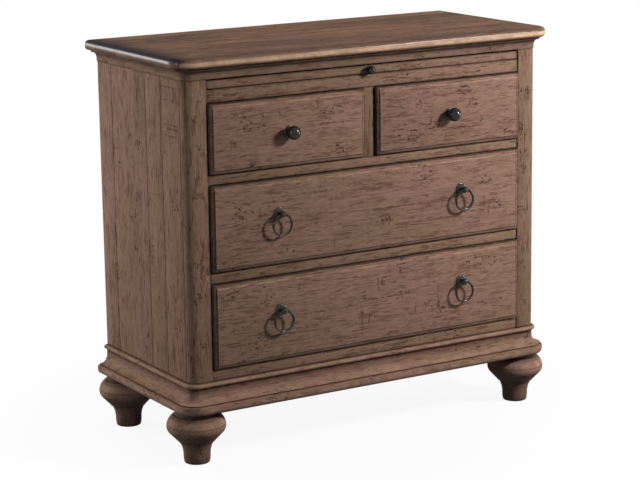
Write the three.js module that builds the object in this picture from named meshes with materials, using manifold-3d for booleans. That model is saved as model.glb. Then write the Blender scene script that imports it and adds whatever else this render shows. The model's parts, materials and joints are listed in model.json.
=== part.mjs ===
// Bachelor's chest: a pull-out tray over two small drawers and two long ones, on turned feet.
// Lengths are millimetres. X runs across the front, Y from front to back, Z up from the floor.

import * as THREE from "three";
import { mergeVertices } from "three/addons/utils/BufferGeometryUtils.js";
import Module from "manifold-3d";

const wasm = await Module();
wasm.setup();

// Case
const caseWidth = 860;
const caseDepth = 390;
const postWidth = 49;
const postThickness = 22;
const postCornerRadius = 18;
const railSetBack = 2;
const stileWidth = 25;
const sideThickness = 18;
const backThickness = 9;
const backSeatWidth = 9;
const dustPanelThickness = 12;
const plankGrooveWidth = 2.4;
const plankGrooveDepth = 1;
const plankJointShares = [0.161, 0.559, 0.736];

// Heights of what shows on the front, from the floor up
const footHeight = 112;
const baseHeight = 52;
const beadHeight = 11;
const bottomEdgeHeight = 23;
const lowerOpeningHeight = 179;
const lowerRailHeight = 22;
const middleOpeningHeight = 180;
const middleRailHeight = 20;
const upperOpeningHeight = 146;
const trayRailHeight = 26;
const traySlotHeight = 22;
const coveHeight = 23;
const topThickness = 22;

// Top and cove frame
const topOverhang = 26;
const topBackOverhang = 3;
const topEdgeFlat = 3;
const topNosingDepth = 10;
const coveFoot = 1.2;
const coveProjection = 14;
const coveFootFillet = 3;
const coveHeadFillet = 3.5;
const coveFrameWidth = 60;

// Plinth: bead board, base mouldings and the board that the feet are fixed to
const beadProjection = 8;
const beadFlat = 1;
const baseInset = 8;
const baseNeck = 1.4;
const baseProjection = 25;
const baseRoundHeight = 19;
const baseUnderProjection = 17;
const baseQuirkDepth = 2;
const baseQuirkHeight = 3;
const baseCoveHeight = 23;
const baseBoardThickness = 20;

// Turned feet
const footFromSide = 26;
const footFromFront = 36;
const footFromBack = 40;
const footSoleRadius = 26.5;
const footSoleEdge = 3;
const footShaftRadius = 28;
const footShaftHeight = 18;
const footShoulderRadius = 35.5;
const footShoulderHeight = 45.5;
const footLip = 2;
const footBunRadius = 62.5;
const footBunUnderRadius = 18;
const footBunCoreRadius = 30;
const footBunCrownHeight = 23.5;
const footBunRise = 29;
const footNeckRadius = 44;
const footNeckHeight = 10;
const footTenonRadius = 12.5;
const footTenonLength = 14;

// Drawer fronts
const frontThickness = 22;
const frontProud = 8;
const frontGap = 2;
const frontBottomGap = 1.5;
const edgeSquare = 1;
const edgeOvoloWidth = 8.5;
const edgeOvoloRise = 5;
const edgeFlatWidth = 1.6;
const edgeStepSlope = 0.5;
const fieldEase = 0.7;

// Drawer boxes
const boxSideThickness = 12;
const boxBackThickness = 12;
const boxBackClearance = 32;
const boxSideClearance = 3;
const boxTopClearance = 12;
const boxBottomThickness = 5;
const grooveDepth = 5;
const grooveHeight = 9;
const frontTailLength = 10;
const tailPitch = 44;
const tailWidthShare = 0.55;
const tailSlopeShare = 1 / 6;

// Runners and pull-out tray
const runningGap = 0.3;
const guideHeight = 12;
const guideClearance = 1;
const trayBoardThickness = 13;
const trayBackClearance = 59;
const trayLipThickness = 16;
const trayLipHeight = 17;
const trayLipRaise = 1.2;
const trayLipEase = 1.5;

// Ball knobs on the small drawers, and a smaller one on the tray
const knobRosetteRadius = 12.5;
const knobRosetteThickness = 3;
const knobNeckRadius = 6.5;
const knobBallRadius = 14.5;
const knobBallStandOff = 18;
const knobTipFlat = 1.5;
const trayKnobScaleShare = 0.62;

// Ring pulls on the long drawers
const pullSpacing = 450;
const pullAboveCentre = 18;
const pullRosetteRadius = 12.5;
const pullRosetteThickness = 3.5;
const pullNeckRadius = 4;
const pullBallRadius = 7;
const pullBallStandOff = 15;
const ringRadius = 21.7;
const ringWireRadius = 2.5;
const ringEyeClearance = 1.25;

// Gap that glued and turned joints keep, and the overrun of cutting tools
const jointGap = 0.3;
const cutOverrun = 5;

// Numbers of facets
const cornerSteps = 5;
const turnedSteps = 18;
const knobSteps = 14;
const ballSteps = 6;
const ringSteps = 24;
const wireSteps = 8;
const curveSteps = 4;
const turnedCurveSteps = 3;

// Levels and planes worked out from the sizes above
const halfCase = caseWidth / 2;
const halfOpening = halfCase - postWidth;
const frontY = -caseDepth / 2;
const backY = caseDepth / 2;
const railFrontY = frontY + railSetBack;
const frameBackY = frontY + postThickness;
const interiorHalf = halfCase - sideThickness;
const interiorBackY = backY - backThickness;
const beadBottomZ = footHeight + baseHeight;
const beadTopZ = beadBottomZ + beadHeight;
const lowerFloorZ = beadTopZ + bottomEdgeHeight;
const lowerRailZ = lowerFloorZ + lowerOpeningHeight;
const middleFloorZ = lowerRailZ + lowerRailHeight;
const middleRailZ = middleFloorZ + middleOpeningHeight;
const upperFloorZ = middleRailZ + middleRailHeight;
const trayRailZ = upperFloorZ + upperOpeningHeight;
const trayFloorZ = trayRailZ + trayRailHeight;
const coveBottomZ = trayFloorZ + traySlotHeight;
const coveTopZ = coveBottomZ + coveHeight;
const fieldY = frontY - frontProud;
const frontBackFaceY = fieldY + frontThickness;

// Finishes
const finishes = {
  bodyWood: { color: 0x856b5c, roughness: 0.62, metalness: 0 },
  topWood: { color: 0x6b5046, roughness: 0.42, metalness: 0 },
  boxWood: { color: 0xc9b28c, roughness: 0.7, metalness: 0 },
  panelWood: { color: 0xb39a76, roughness: 0.75, metalness: 0 },
  darkMetal: { color: 0x1e2422, roughness: 0.35, metalness: 0.9 },
};

const chest = new THREE.Group();

// Puts a geometry into a group as one named piece with a finish of its own.
function addPiece(group, name, geometry, finish) {
  const mesh = new THREE.Mesh(geometry, new THREE.MeshStandardMaterial(finishes[finish]));
  mesh.name = name;
  group.add(mesh);
  return mesh;
}

// Turns a closed geometry into a solid that can be cut and joined.
function solidOf(geometry) {
  const bare = geometry.index ? geometry.toNonIndexed() : geometry.clone();
  bare.deleteAttribute("normal");
  bare.deleteAttribute("uv");
  const merged = mergeVertices(bare);
  const vertProperties = new Float32Array(merged.attributes.position.array);
  const triVerts = new Uint32Array(merged.index.array);
  return new wasm.Manifold(new wasm.Mesh({ numProp: 3, vertProperties, triVerts }));
}

// Turns a solid back into a geometry.
function geometryOf(solid) {
  const mesh = solid.getMesh();
  const geometry = new THREE.BufferGeometry();
  geometry.setAttribute("position", new THREE.BufferAttribute(mesh.vertProperties, 3));
  geometry.setIndex(new THREE.BufferAttribute(mesh.triVerts, 1));
  geometry.computeVertexNormals();
  return geometry;
}

// A rectangular block between two corners.
function block(low, high) {
  const [width, depth, height] = high.map((value, axis) => value - low[axis]);
  const geometry = new THREE.BoxGeometry(width, depth, height);
  geometry.translate(low[0] + width / 2, low[1] + depth / 2, low[2] + height / 2);
  return geometry;
}

// Closed skin over a stack of rings with equal point counts, with flat ends. The rings run
// anticlockwise as seen from the end that the stack goes towards.
function loft(rings) {
  const count = rings[0].length;
  const positions = rings.flat().flatMap((point) => [point.x, point.y, point.z]);
  const index = [];
  for (let ring = 0; ring + 1 < rings.length; ring += 1) {
    for (let step = 0; step < count; step += 1) {
      const next = (step + 1) % count;
      const [a, b] = [ring * count + step, ring * count + next];
      index.push(a, b, b + count, a, b + count, a + count);
    }
  }
  const last = (rings.length - 1) * count;
  for (let step = 1; step + 1 < count; step += 1) {
    index.push(0, step + 1, step);
    index.push(last, last + step, last + step + 1);
  }
  const geometry = new THREE.BufferGeometry();
  geometry.setAttribute("position", new THREE.Float32BufferAttribute(positions, 3));
  geometry.setIndex(index);
  return geometry;
}

// Plan outline of the case, moved outwards: round at the two front corners, square at the back.
function caseOutline(out, z, backEdgeY) {
  const radius = postCornerRadius + out;
  const arcX = halfCase - postCornerRadius;
  const arcY = frontY + postCornerRadius;
  const points = [new THREE.Vector3(-halfCase - out, backEdgeY, z)];
  for (const [side, start] of [[-1, Math.PI], [1, Math.PI * 1.5]]) {
    for (let step = 0; step <= cornerSteps; step += 1) {
      const angle = start + (Math.PI / 2) * (step / cornerSteps);
      const x = side * arcX + radius * Math.cos(angle);
      const y = arcY + radius * Math.sin(angle);
      points.push(new THREE.Vector3(x, y, z));
    }
  }
  points.push(new THREE.Vector3(halfCase + out, backEdgeY, z));
  return points;
}

// A slab whose moulded edge runs round the front and both sides. The profile holds points whose
// x is how far the edge stands out from the case and whose y is its height.
function mouldedSlab(profile, backEdgeY) {
  return loft(profile.map((point) => caseOutline(point.x, point.y, backEdgeY)));
}

// An outline in the XY plane of a shape, raised from one height to another.
function prism(points, lowZ, highZ) {
  const shape = new THREE.Shape(points.map(([x, y]) => new THREE.Vector2(x, y)));
  const geometry = new THREE.ExtrudeGeometry(shape, { depth: highZ - lowZ, bevelEnabled: false });
  geometry.translate(0, 0, lowZ);
  return geometry;
}

// An outline of (x, z) points, carried from a front plane to a back plane.
function frontToBack(points, nearY, farY) {
  const shape = new THREE.Shape(points.map(([x, z]) => new THREE.Vector2(x, z)));
  const geometry = new THREE.ExtrudeGeometry(shape, { depth: farY - nearY, bevelEnabled: false });
  geometry.rotateX(Math.PI / 2);
  geometry.translate(0, farY, 0);
  return geometry;
}

// An outline of (y, z) points, carried from one x to another.
function leftToRight(points, lowX, highX) {
  const shape = new THREE.Shape(points.map(([y, z]) => new THREE.Vector2(y, z)));
  const geometry = new THREE.ExtrudeGeometry(shape, { depth: highX - lowX, bevelEnabled: false });
  const axes = [new THREE.Vector3(0, 1, 0), new THREE.Vector3(0, 0, 1), new THREE.Vector3(1, 0, 0)];
  geometry.applyMatrix4(new THREE.Matrix4().makeBasis(...axes));
  geometry.translate(lowX, 0, 0);
  return geometry;
}

// Cuts a moulded frame into its mitred front, left and right members.
function mitredMembers(frame, lowZ, highZ) {
  const reach = caseWidth + caseDepth;
  const cornerX = halfCase - postCornerRadius;
  const cornerY = frontY + postCornerRadius;
  const half = jointGap / 2;
  const [bottom, top] = [lowZ - cutOverrun, highZ + cutOverrun];
  const inner = Math.min(cornerX, reach / 4);
  const frontWedge = [
    [-cornerX - reach + half, cornerY - reach],
    [cornerX + reach - half, cornerY - reach],
    [cornerX - inner - half, cornerY + inner],
    [-cornerX + inner + half, cornerY + inner],
  ];
  const sideWedge = (side) => [
    [side * (cornerX + reach + half), cornerY - reach],
    [side * (cornerX + reach + half), cornerY + reach],
    [side * (cornerX - inner + half), cornerY + reach],
    [side * (cornerX - inner + half), cornerY + inner],
  ];
  const right = sideWedge(1);
  const left = sideWedge(-1).reverse();
  const cut = (outline) => geometryOf(frame.intersect(solidOf(prism(outline, bottom, top))));
  return { front: cut(frontWedge), left: cut(left), right: cut(right) };
}

// The top: one board with a full, soft nosing on its front and sides.
function makeTop() {
  const middle = coveTopZ + topThickness / 2;
  const halfRound = (topThickness - topEdgeFlat) / 2;
  const path = new THREE.Path();
  const rootOut = topOverhang - topNosingDepth;
  path.moveTo(rootOut, coveTopZ + jointGap);
  path.absellipse(rootOut, middle - topEdgeFlat / 2, topNosingDepth, halfRound - jointGap,
    -Math.PI / 2, 0, false);
  path.absellipse(rootOut, middle + topEdgeFlat / 2, topNosingDepth, halfRound, 0, Math.PI / 2, false);
  const slab = mouldedSlab(path.getPoints(curveSteps), backY + topBackOverhang);
  addPiece(chest, "top_board", slab, "topWood");
}

// Frame of flat members under the top, whose outer edge is worked to a cove.
function makeCoveFrame() {
  const path = new THREE.Path();
  const footZ = coveBottomZ + coveFootFillet;
  const headZ = coveTopZ - coveHeadFillet;
  path.moveTo(coveFoot, coveBottomZ);
  path.lineTo(coveFoot, footZ);
  path.quadraticCurveTo(coveFoot, headZ, coveProjection, headZ);
  path.lineTo(coveProjection, coveTopZ);
  const slab = solidOf(mouldedSlab(path.getPoints(curveSteps), backY));
  const innerX = halfCase - coveFrameWidth;
  const innerY = frontY + coveFrameWidth;
  const hole = block(
    [-innerX, innerY, coveBottomZ - cutOverrun],
    [innerX, backY + cutOverrun, coveTopZ + cutOverrun],
  );
  const members = mitredMembers(slab.subtract(solidOf(hole)), coveBottomZ, coveTopZ);
  addPiece(chest, "cove_frame_front", members.front, "bodyWood");
  addPiece(chest, "cove_frame_left", members.left, "bodyWood");
  addPiece(chest, "cove_frame_right", members.right, "bodyWood");
  const back = block(
    [-innerX + jointGap, backY - coveFrameWidth, coveBottomZ + jointGap],
    [innerX - jointGap, backY, coveTopZ],
  );
  addPiece(chest, "cove_frame_back", back, "panelWood");
}

// Front posts, each with its outer corner rounded over.
function makePosts() {
  const lowZ = beadTopZ + jointGap;
  const highZ = coveBottomZ - jointGap;
  for (const [name, side] of [["front_post_left", -1], ["front_post_right", 1]]) {
    const points = [[side * halfOpening, frameBackY], [side * halfOpening, frontY]];
    for (let step = 0; step <= cornerSteps; step += 1) {
      const angle = (Math.PI / 2) * (step / cornerSteps);
      points.push([
        side * (halfCase - postCornerRadius + postCornerRadius * Math.sin(angle)),
        frontY + postCornerRadius - postCornerRadius * Math.cos(angle),
      ]);
    }
    points.push([side * halfCase, frameBackY]);
    addPiece(chest, name, prism(side < 0 ? points.reverse() : points, lowZ, highZ), "bodyWood");
  }
}

// Side panels of edge-jointed planks: fine V joints outside, a seat for the back panel inside.
function makeSidePanels() {
  const nearY = frameBackY + jointGap;
  const lowZ = beadTopZ + jointGap;
  const highZ = coveBottomZ - jointGap;
  for (const [name, side] of [["side_panel_left", -1], ["side_panel_right", 1]]) {
    const points = [
      [side * interiorHalf, nearY],
      [side * halfCase, nearY],
    ];
    for (const share of [...plankJointShares].reverse()) {
      const jointY = backY - share * caseDepth;
      points.push([side * halfCase, jointY - plankGrooveWidth / 2]);
      points.push([side * (halfCase - plankGrooveDepth), jointY]);
      points.push([side * halfCase, jointY + plankGrooveWidth / 2]);
    }
    points.push([side * halfCase, backY]);
    points.push([side * (interiorHalf + backSeatWidth), backY]);
    points.push([side * (interiorHalf + backSeatWidth), interiorBackY]);
    points.push([side * interiorHalf, interiorBackY]);
    addPiece(chest, name, prism(side < 0 ? points.reverse() : points, lowZ, highZ), "bodyWood");
  }
}

// Back panel, let into the seats of the side panels.
function makeBackPanel() {
  const reach = interiorHalf + backSeatWidth - jointGap;
  const geometry = block(
    [-reach, interiorBackY + jointGap, beadTopZ + jointGap],
    [reach, backY, coveBottomZ - jointGap],
  );
  addPiece(chest, "back_panel", geometry, "panelWood");
}

// Rails between the posts, and the stile between the small drawers.
function makeFaceFrame() {
  const reach = halfOpening - jointGap;
  const rails = [
    ["tray_rail", trayRailZ, trayFloorZ],
    ["middle_rail", middleRailZ, upperFloorZ],
    ["lower_rail", lowerRailZ, middleFloorZ],
  ];
  for (const [name, lowZ, highZ] of rails) {
    addPiece(chest, name, block([-reach, railFrontY, lowZ], [reach, frameBackY, highZ]), "bodyWood");
  }
  const stile = block(
    [-stileWidth / 2, railFrontY, upperFloorZ + jointGap],
    [stileWidth / 2, frameBackY, trayRailZ - jointGap],
  );
  addPiece(chest, "centre_stile", stile, "bodyWood");
}

// A floor that a drawer or the tray runs on, with a guide strip along each side. The outline is
// its section, and a floor under two drawers has a guide between them too.
function runnerFloor(floorZ, thickness, hasCentreGuide) {
  const edgeX = interiorHalf - jointGap;
  const guideX = halfOpening - boxSideClearance + guideClearance;
  const centreX = stileWidth / 2 + boxSideClearance - guideClearance;
  const guideZ = floorZ + guideHeight;
  const centre = hasCentreGuide
    ? [[centreX, floorZ], [centreX, guideZ], [-centreX, guideZ], [-centreX, floorZ]]
    : [];
  const section = [
    [-edgeX, floorZ - thickness],
    [edgeX, floorZ - thickness],
    [edgeX, guideZ],
    [guideX, guideZ],
    [guideX, floorZ],
    ...centre,
    [-guideX, floorZ],
    [-guideX, guideZ],
    [-edgeX, guideZ],
  ];
  return frontToBack(section, frameBackY + jointGap, interiorBackY - jointGap);
}

// Dust panels behind the rails, and the thick bottom whose front edge shows between the posts.
function makeFloors() {
  const panels = [
    ["tray_shelf", trayFloorZ, false],
    ["upper_dust_panel", upperFloorZ, true],
    ["lower_dust_panel", middleFloorZ, false],
  ];
  for (const [name, floorZ, hasCentreGuide] of panels) {
    addPiece(chest, name, runnerFloor(floorZ, dustPanelThickness, hasCentreGuide), "panelWood");
  }
  const thickness = bottomEdgeHeight - jointGap;
  const reach = halfOpening - jointGap;
  const edge = block(
    [-reach, railFrontY, lowerFloorZ - thickness],
    [reach, frameBackY + cutOverrun, lowerFloorZ],
  );
  const bottom = solidOf(runnerFloor(lowerFloorZ, thickness, false)).add(solidOf(edge));
  addPiece(chest, "case_bottom", geometryOf(bottom), "bodyWood");
}

// Board under the case whose edge is a half-round bead.
function makeBeadBoard() {
  const path = new THREE.Path();
  const lowZ = beadBottomZ + jointGap;
  const radius = (beadTopZ - lowZ) / 2;
  path.moveTo(beadFlat, lowZ);
  path.absellipse(beadFlat, lowZ + radius, beadProjection - beadFlat, radius,
    -Math.PI / 2, Math.PI / 2, false);
  const profile = path.getPoints(curveSteps * 2);
  addPiece(chest, "bead_board", mouldedSlab(profile, backY), "bodyWood");
}

// Base mouldings: a heavy round under a quirk and a wide cove, mitred at the front corners.
function makeBaseMouldings() {
  const path = new THREE.Path();
  const roundTopZ = footHeight + baseRoundHeight;
  const coveFootZ = roundTopZ + baseQuirkHeight;
  const coveHeadZ = coveFootZ + baseCoveHeight;
  const quirkOut = baseProjection - baseQuirkDepth * 2;
  const roundZ = footHeight + baseRoundHeight * 2 / 3;
  path.moveTo(baseUnderProjection, footHeight);
  path.quadraticCurveTo(baseProjection, footHeight + baseQuirkDepth, baseProjection, roundZ);
  path.quadraticCurveTo(baseProjection, roundTopZ, quirkOut + baseQuirkDepth, roundTopZ);
  path.lineTo(quirkOut - baseQuirkDepth, roundTopZ + baseQuirkHeight / 2);
  path.lineTo(quirkOut, coveFootZ);
  path.quadraticCurveTo(baseNeck, coveFootZ, baseNeck, coveHeadZ);
  path.lineTo(baseNeck, beadBottomZ);
  const slab = solidOf(mouldedSlab(path.getPoints(curveSteps), backY));
  const innerX = halfCase - baseInset;
  const hole = block(
    [-innerX, frontY + baseInset, footHeight - cutOverrun],
    [innerX, backY + cutOverrun, beadBottomZ + cutOverrun],
  );
  const members = mitredMembers(slab.subtract(solidOf(hole)), footHeight, beadBottomZ);
  addPiece(chest, "base_moulding_front", members.front, "bodyWood");
  addPiece(chest, "base_moulding_left", members.left, "bodyWood");
  addPiece(chest, "base_moulding_right", members.right, "bodyWood");
}

// Places of the four feet, with the end of the chest that each is named for.
function footPlaces() {
  const x = halfCase - footFromSide;
  return [
    ["foot_front_left", -x, frontY + footFromFront],
    ["foot_front_right", x, frontY + footFromFront],
    ["foot_back_left", -x, backY - footFromBack],
    ["foot_back_right", x, backY - footFromBack],
  ];
}

// Board inside the base mouldings, bored for the feet's tenons.
function makeBaseBoard() {
  const reach = halfCase - baseInset - jointGap;
  let board = solidOf(block(
    [-reach, frontY + baseInset + jointGap, footHeight],
    [reach, backY, footHeight + baseBoardThickness],
  ));
  for (const [, x, y] of footPlaces()) {
    const length = footTenonLength + jointGap;
    const bore = new THREE.CylinderGeometry(
      footTenonRadius + jointGap * 2, footTenonRadius + jointGap * 2, length + cutOverrun, turnedSteps);
    bore.rotateX(Math.PI / 2);
    bore.translate(x, y, footHeight + (length - cutOverrun) / 2);
    board = board.subtract(solidOf(bore));
  }
  addPiece(chest, "base_board", geometryOf(board), "panelWood");
}

// Half section of a foot: flared shaft, lip, bun with a sloping underside, neck and tenon.
function footProfile() {
  const path = new THREE.Path();
  const topHeight = footHeight - jointGap;
  const neckFoot = footHeight - footNeckHeight;
  const bunHeight = neckFoot - footBunCrownHeight;
  const flareHeight = (footShaftHeight + footShoulderHeight) / 2;
  const crownAngle = Math.asin(footBunCrownHeight / footBunRise);
  const bunReach = footBunRadius - footBunCoreRadius;
  path.moveTo(0, 0);
  path.lineTo(footSoleRadius - footSoleEdge, 0);
  path.lineTo(footSoleRadius, footSoleEdge);
  path.lineTo(footShaftRadius, footShaftHeight);
  path.quadraticCurveTo(footShaftRadius, flareHeight, footShoulderRadius, footShoulderHeight);
  path.lineTo(footShoulderRadius + footLip, footShoulderHeight);
  const points = path.getPoints(turnedCurveSteps);
  const bun = new THREE.Path();
  bun.absarc(footBunRadius - footBunUnderRadius, bunHeight, footBunUnderRadius, -Math.PI / 4, 0, false);
  const rise = new THREE.Path();
  rise.absellipse(footBunCoreRadius, bunHeight, bunReach, footBunRise, 0, crownAngle, false);
  points.push(...bun.getPoints(turnedCurveSteps), ...rise.getPoints(turnedCurveSteps).slice(1));
  const last = points[points.length - 1];
  points.push(new THREE.Vector2(Math.min(last.x, footNeckRadius) - footLip, neckFoot + footLip / 2));
  points.push(new THREE.Vector2(footNeckRadius, neckFoot + footLip));
  points.push(new THREE.Vector2(footNeckRadius, topHeight));
  points.push(new THREE.Vector2(footTenonRadius, topHeight));
  points.push(new THREE.Vector2(footTenonRadius, topHeight + footTenonLength));
  points.push(new THREE.Vector2(0, topHeight + footTenonLength));
  return points;
}

// Four turned feet.
function makeFeet() {
  for (const [name, x, y] of footPlaces()) {
    const geometry = new THREE.LatheGeometry(footProfile(), turnedSteps);
    geometry.rotateX(Math.PI / 2);
    addPiece(chest, name, geometry, "bodyWood").position.set(x, y, 0);
  }
}

// Board with a raised field and a moulded edge, as seen from the front.
function raisedFront(lowX, highX, lowZ, highZ) {
  const path = new THREE.Path();
  const squareTop = frontThickness - frontProud + edgeSquare;
  const stepInset = edgeOvoloWidth + edgeFlatWidth;
  const ovoloTop = squareTop + edgeOvoloRise;
  path.moveTo(0, 0);
  path.lineTo(0, squareTop);
  path.quadraticCurveTo(0, ovoloTop, edgeOvoloWidth, ovoloTop);
  path.lineTo(stepInset, ovoloTop);
  path.lineTo(stepInset + edgeStepSlope, frontThickness - fieldEase);
  path.lineTo(stepInset + edgeStepSlope + fieldEase, frontThickness);
  const rings = path.getPoints(curveSteps).map(({ x: inset, y: rise }) => {
    const y = frontBackFaceY - rise;
    return [
      new THREE.Vector3(lowX + inset, y, lowZ + inset),
      new THREE.Vector3(highX - inset, y, lowZ + inset),
      new THREE.Vector3(highX - inset, y, highZ - inset),
      new THREE.Vector3(lowX + inset, y, highZ - inset),
    ];
  });
  return loft(rings);
}

// Dovetails along one end of a drawer side: (y, z) corners in rising order. A grown tail is the
// socket that it fits.
function dovetails(baseY, length, lowZ, height, grow) {
  const count = Math.max(2, Math.round(height / tailPitch));
  const pitch = height / count;
  const halfBase = pitch * tailWidthShare / 2;
  const flare = Math.abs(length) * tailSlopeShare;
  const tipY = baseY + length + Math.sign(length) * grow;
  const tails = [];
  for (let tail = 0; tail < count; tail += 1) {
    const middle = lowZ + (tail + 1 / 2) * pitch;
    tails.push([
      [baseY, middle - halfBase - grow],
      [tipY, middle - halfBase - flare - grow],
      [tipY, middle + halfBase + flare + grow],
      [baseY, middle + halfBase + grow],
    ]);
  }
  return tails;
}

// Takes the sockets of one board end out of a drawer's front or back.
function cutSockets(solid, tails, lowX, highX) {
  let result = solid;
  for (const tail of tails) {
    const clockwise = tail[1][0] > tail[0][0];
    const outline = clockwise ? tail : [...tail].reverse();
    result = result.subtract(solidOf(leftToRight(outline, lowX, highX)));
  }
  return result;
}

// Drawer box behind a front: dovetailed sides and back, and a bottom in grooves.
function makeDrawer(group, name, lowX, highX, floorZ, openingHeight) {
  const boxLowX = lowX + boxSideClearance;
  const boxHighX = highX - boxSideClearance;
  const boxLowZ = floorZ + runningGap;
  const boxHighZ = floorZ + openingHeight - boxTopClearance;
  const boxHeight = boxHighZ - boxLowZ;
  const sideNearY = frontBackFaceY + jointGap;
  const boxFarY = interiorBackY - boxBackClearance;
  const backNearY = boxFarY - boxBackThickness;
  const sideFarY = backNearY - jointGap;
  const backTailLength = boxFarY - sideFarY;
  const grooveLowZ = boxLowZ + grooveHeight;
  const grooveHighZ = grooveLowZ + boxBottomThickness + jointGap * 2;
  const innerLowX = boxLowX + boxSideThickness;
  const innerHighX = boxHighX - boxSideThickness;
  const groove = solidOf(block(
    [innerLowX - grooveDepth, frontBackFaceY - grooveDepth, grooveLowZ],
    [innerHighX + grooveDepth, backNearY + grooveDepth, grooveHighZ],
  ));

  const frontLowZ = floorZ + frontBottomGap;
  const frontHighZ = floorZ + openingHeight - frontGap;
  const frontTails = (grow) => dovetails(sideNearY, -frontTailLength, boxLowZ, boxHeight, grow);
  const backTails = (grow) => dovetails(sideFarY, backTailLength, boxLowZ, boxHeight, grow);
  let front = solidOf(raisedFront(lowX + frontGap, highX - frontGap, frontLowZ, frontHighZ));
  let back = solidOf(block([boxLowX, backNearY, boxLowZ], [boxHighX, boxFarY, boxHighZ]));
  const ends = [
    [lowX, innerLowX + jointGap],
    [innerHighX - jointGap, highX],
  ];
  for (const [socketLowX, socketHighX] of ends) {
    front = cutSockets(front, frontTails(jointGap), socketLowX, socketHighX);
    back = cutSockets(back, backTails(jointGap + cutOverrun), socketLowX, socketHighX);
  }
  front = front.subtract(groove);
  back = back.subtract(groove);
  addPiece(group, `${name}_front`, geometryOf(front), "bodyWood");
  addPiece(group, `${name}_back`, geometryOf(back), "boxWood");

  const outline = [
    [sideNearY, boxLowZ],
    [sideFarY, boxLowZ],
    ...backTails(0).flat(),
    [sideFarY, boxHighZ],
    [sideNearY, boxHighZ],
    ...frontTails(0).reverse().flatMap((tail) => [...tail].reverse()),
  ];
  const sides = [
    ["left_side", boxLowX, innerLowX],
    ["right_side", innerHighX, boxHighX],
  ];
  for (const [part, sideLowX, sideHighX] of sides) {
    const side = solidOf(leftToRight(outline, sideLowX, sideHighX)).subtract(groove);
    addPiece(group, `${name}_${part}`, geometryOf(side), "boxWood");
  }

  const bottomEdge = grooveDepth - jointGap;
  const bottom = block(
    [innerLowX - bottomEdge, frontBackFaceY - bottomEdge, grooveLowZ + jointGap],
    [innerHighX + bottomEdge, backNearY + bottomEdge, grooveHighZ - jointGap],
  );
  addPiece(group, `${name}_bottom`, bottom, "boxWood");
}

// Turns a half section of (radius, stand-off) points about an axis that comes out of the front.
function turnedOutwards(points, steps) {
  const geometry = new THREE.LatheGeometry(points, steps);
  geometry.rotateX(Math.PI);
  return geometry;
}

// Ball knob on a round rosette, sized by a share of the full one.
function knobGeometry(share) {
  const path = new THREE.Path();
  const ballFoot = Math.asin(knobNeckRadius / knobBallRadius) - Math.PI / 2;
  path.moveTo(0, jointGap);
  path.lineTo(knobRosetteRadius * share, jointGap);
  path.lineTo(knobRosetteRadius * share, knobRosetteThickness * share / 2);
  path.quadraticCurveTo(
    knobRosetteRadius * share, knobRosetteThickness * share,
    knobNeckRadius * share, knobRosetteThickness * share);
  path.absellipse(0, knobBallStandOff * share, knobBallRadius * share, knobBallRadius * share,
    ballFoot, Math.PI / 2 - Math.asin(knobTipFlat / knobBallRadius), false);
  path.lineTo(0, (knobBallStandOff + Math.sqrt(knobBallRadius ** 2 - knobTipFlat ** 2)) * share);
  return turnedOutwards(path.getPoints(ballSteps), knobSteps);
}

// Post of a ring pull: rosette, neck and a ball bored across for the ring.
function pullPostGeometry() {
  const path = new THREE.Path();
  const neckTop = pullBallStandOff - Math.sqrt(pullBallRadius ** 2 - pullNeckRadius ** 2);
  const ballFoot = Math.asin(pullNeckRadius / pullBallRadius) - Math.PI / 2;
  path.moveTo(0, jointGap);
  path.lineTo(pullRosetteRadius, jointGap);
  path.quadraticCurveTo(
    pullRosetteRadius, pullRosetteThickness, pullNeckRadius, pullRosetteThickness);
  path.lineTo(pullNeckRadius, neckTop);
  path.absellipse(0, pullBallStandOff, pullBallRadius, pullBallRadius, ballFoot, Math.PI / 2, false);
  const post = solidOf(turnedOutwards(path.getPoints(curveSteps), knobSteps));
  const eyeRadius = ringWireRadius + ringEyeClearance;
  const eye = new THREE.CylinderGeometry(eyeRadius, eyeRadius, pullBallRadius * 4, knobSteps);
  eye.rotateZ(Math.PI / 2);
  eye.translate(0, -pullBallStandOff, 0);
  return geometryOf(post.subtract(solidOf(eye)));
}

// Two ring pulls on a long drawer. Each ring hangs through the eye of its post.
function makeRingPulls(group, name, centreZ) {
  for (const [end, side] of [["left", -1], ["right", 1]]) {
    const place = new THREE.Vector3(side * pullSpacing / 2, fieldY, centreZ + pullAboveCentre);
    addPiece(group, `${name}_${end}_pull_post`, pullPostGeometry(), "darkMetal").position.copy(place);
    const ring = new THREE.TorusGeometry(ringRadius, ringWireRadius, wireSteps, ringSteps);
    ring.rotateX(Math.PI / 2);
    const mesh = addPiece(group, `${name}_${end}_pull_ring`, ring, "darkMetal");
    mesh.position.set(place.x, fieldY - pullBallStandOff, place.z - ringRadius);
  }
}

// Pull-out tray: a flat board with a lip along its front edge.
function makeTray() {
  const tray = new THREE.Group();
  const lipBackY = railFrontY + trayLipThickness;
  const reach = halfOpening - boxSideClearance;
  const board = block(
    [-reach, lipBackY + jointGap, trayFloorZ + runningGap],
    [reach, interiorBackY - trayBackClearance, trayFloorZ + trayBoardThickness],
  );
  addPiece(tray, "tray_board", board, "bodyWood");
  const lowZ = trayFloorZ + trayLipRaise;
  const highZ = lowZ + trayLipHeight;
  const lipReach = halfOpening - frontGap;
  const section = [
    [lipBackY, lowZ],
    [lipBackY, highZ],
    [railFrontY + trayLipEase, highZ],
    [railFrontY, highZ - trayLipEase],
    [railFrontY, lowZ + trayLipEase],
    [railFrontY + trayLipEase, lowZ],
  ];
  addPiece(tray, "tray_lip", leftToRight(section.reverse(), -lipReach, lipReach), "bodyWood");
  const knob = addPiece(tray, "tray_knob", knobGeometry(trayKnobScaleShare), "darkMetal");
  knob.position.set(0, railFrontY, (lowZ + highZ) / 2);
  chest.add(tray);
}

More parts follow.
